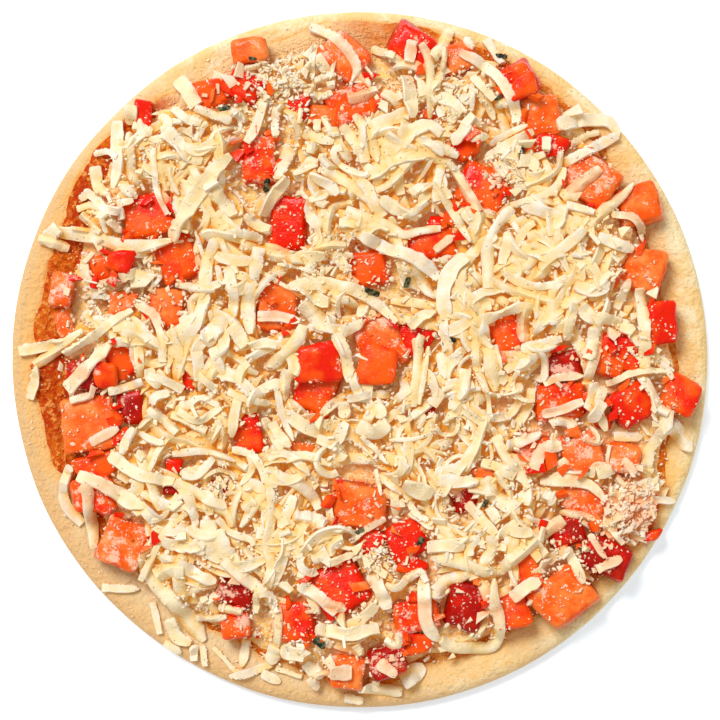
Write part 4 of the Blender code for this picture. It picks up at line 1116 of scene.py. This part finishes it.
# x, y, length and width in the photograph's frame, and turn in degrees
BASIL_FLAKES = (
    (268, 187, 13, 6, 80), (226, 111, 12, 5, 10), (513, 92, 9, 6, 60), (519, 160, 20, 7, 85),
    (407, 283, 11, 5, 70), (448, 342, 14, 7, 20), (372, 293, 15, 6, -20), (501, 58, 11, 5, -10),
    (320, 640, 13, 8, -40), (232, 274, 10, 7, 30), (420, 540, 10, 6, 60), (497, 101, 8, 4, 20),
    (254, 62, 7, 3, 0), (360, 529, 9, 4, 30), (484, 502, 8, 4, 60),
)
basil = Kind("basil_flakes", drawn_out(8, 0.36))
for px, py, length, width, turn in BASIL_FLAKES:
    half = np.array((math.cos(math.radians(turn)), math.sin(math.radians(turn)))) * length * PIXEL / 2
    lay(basil, [np.array(at(px, py)) + half * share for share in (-1, -0.2, 0.4, 1)], width * PIXEL, 0.8 * MM,
        ragged=0.4 * MM)

# The colour of the cheese: white where it lies high, cream, then yellow to amber in the gaps as painted
# shade, pink with juice beside the tomato, with a few dark specks. The gaps also glow a little: painted
# light, for light that comes through cheese from all sides.
crowd = blurred(heights, 2 * MM)
WHITE_CHEESE, CREAM, CHEESE_IN_SHADE = (0.96, 0.95, 0.94, 1), (0.95, 0.85, 0.60, 1), (0.93, 0.66, 0.28, 1)
CHEESE_IN_DEEP_SHADE, PINK_CHEESE, SPECK = (0.90, 0.41, 0.03, 1), (0.97, 0.42, 0.24, 1), (0.16, 0.15, 0.10, 1)
DARK, GLOW = (0.0, 0.0, 0.0, 1), (1.0, 0.5, 0.08, 1)

cheese_look = Material("grated_mozzarella", 0.5, Specular_IOR_Level=0.25, Emission_Strength=0.12)
recess_shade = cheese_look.attribute("recess_shade")
shade = cheese_look.attribute("shade")
wet = cheese_look.attribute("juice")
cloud = cheese_look.noise(0.005, 3)
# Edges whiter and middles creamier: partly the shreds' own frayed edges, partly painted highlight on the
# edges and painted light through the thick middles.
rim = cheese_look.attribute("rim")
yellow = shade * 0.7 + (1 - rim) * 0.4 + (cloud - 0.5) * 0.5
colour = cheese_look.mix(yellow, WHITE_CHEESE, CREAM)
# Painted shade: yellow to amber the deeper a point lies in the heap.
uneven = recess_shade + (cloud - 0.5) * 0.4
colour = cheese_look.mix(uneven.ramp(-0.22, 0.3), colour, CHEESE_IN_SHADE)
colour = cheese_look.mix(uneven.ramp(0.25, 0.85) * 0.95, colour, CHEESE_IN_DEEP_SHADE)
# The pink of the juice is stronger lower in the heap, along with the painted shade.
stained = wet * (recess_shade * 0.9 + 0.28) + (cloud - 0.5) * 0.35
colour = cheese_look.mix(stained.ramp(0.1, 0.45) * 0.7, colour, PINK_CHEESE)
speck = cheese_look.cell_noise(330, {})
rare = cheese_look.noise(0.006, 1).ramp(0.42, 0.5)
colour = cheese_look.mix((1 - speck.ramp(0.07, 0.13)) * rare * 0.85, colour, SPECK)
cheese_look.set("Base Color", colour)
# Painted light: the hollows glow amber, for light coming through the cheese.
cheese_look.set("Emission Color", cheese_look.mix(recess_shade.ramp(0.0, 0.8), DARK, GLOW))
cheese_look.bump(cheese_look.noise(0.0011, 4, 0.7) + 0.5 * cheese_look.noise(0.004, 2), 0.7 * MM, 0.7)
for kind in (long_shreds, short_shreds, torn_shreds, chips, crumbs, grains):
    kind.make(cheese_look.made)
shards.make(tomato_look.made, "tomato")

basil_look = Material("dried_basil", 0.6, Specular_IOR_Level=0.3)
LEAF, VEIN = (0.012, 0.016, 0.006, 1), (0.13, 0.14, 0.06, 1)
basil_look.set("Base Color", basil_look.mix(basil_look.noise(0.0015, 3).ramp(0.45, 0.62), LEAF, VEIN))
basil_look.bump(basil_look.noise(0.001, 2), 0.5 * MM)
basil.make(basil_look.made)
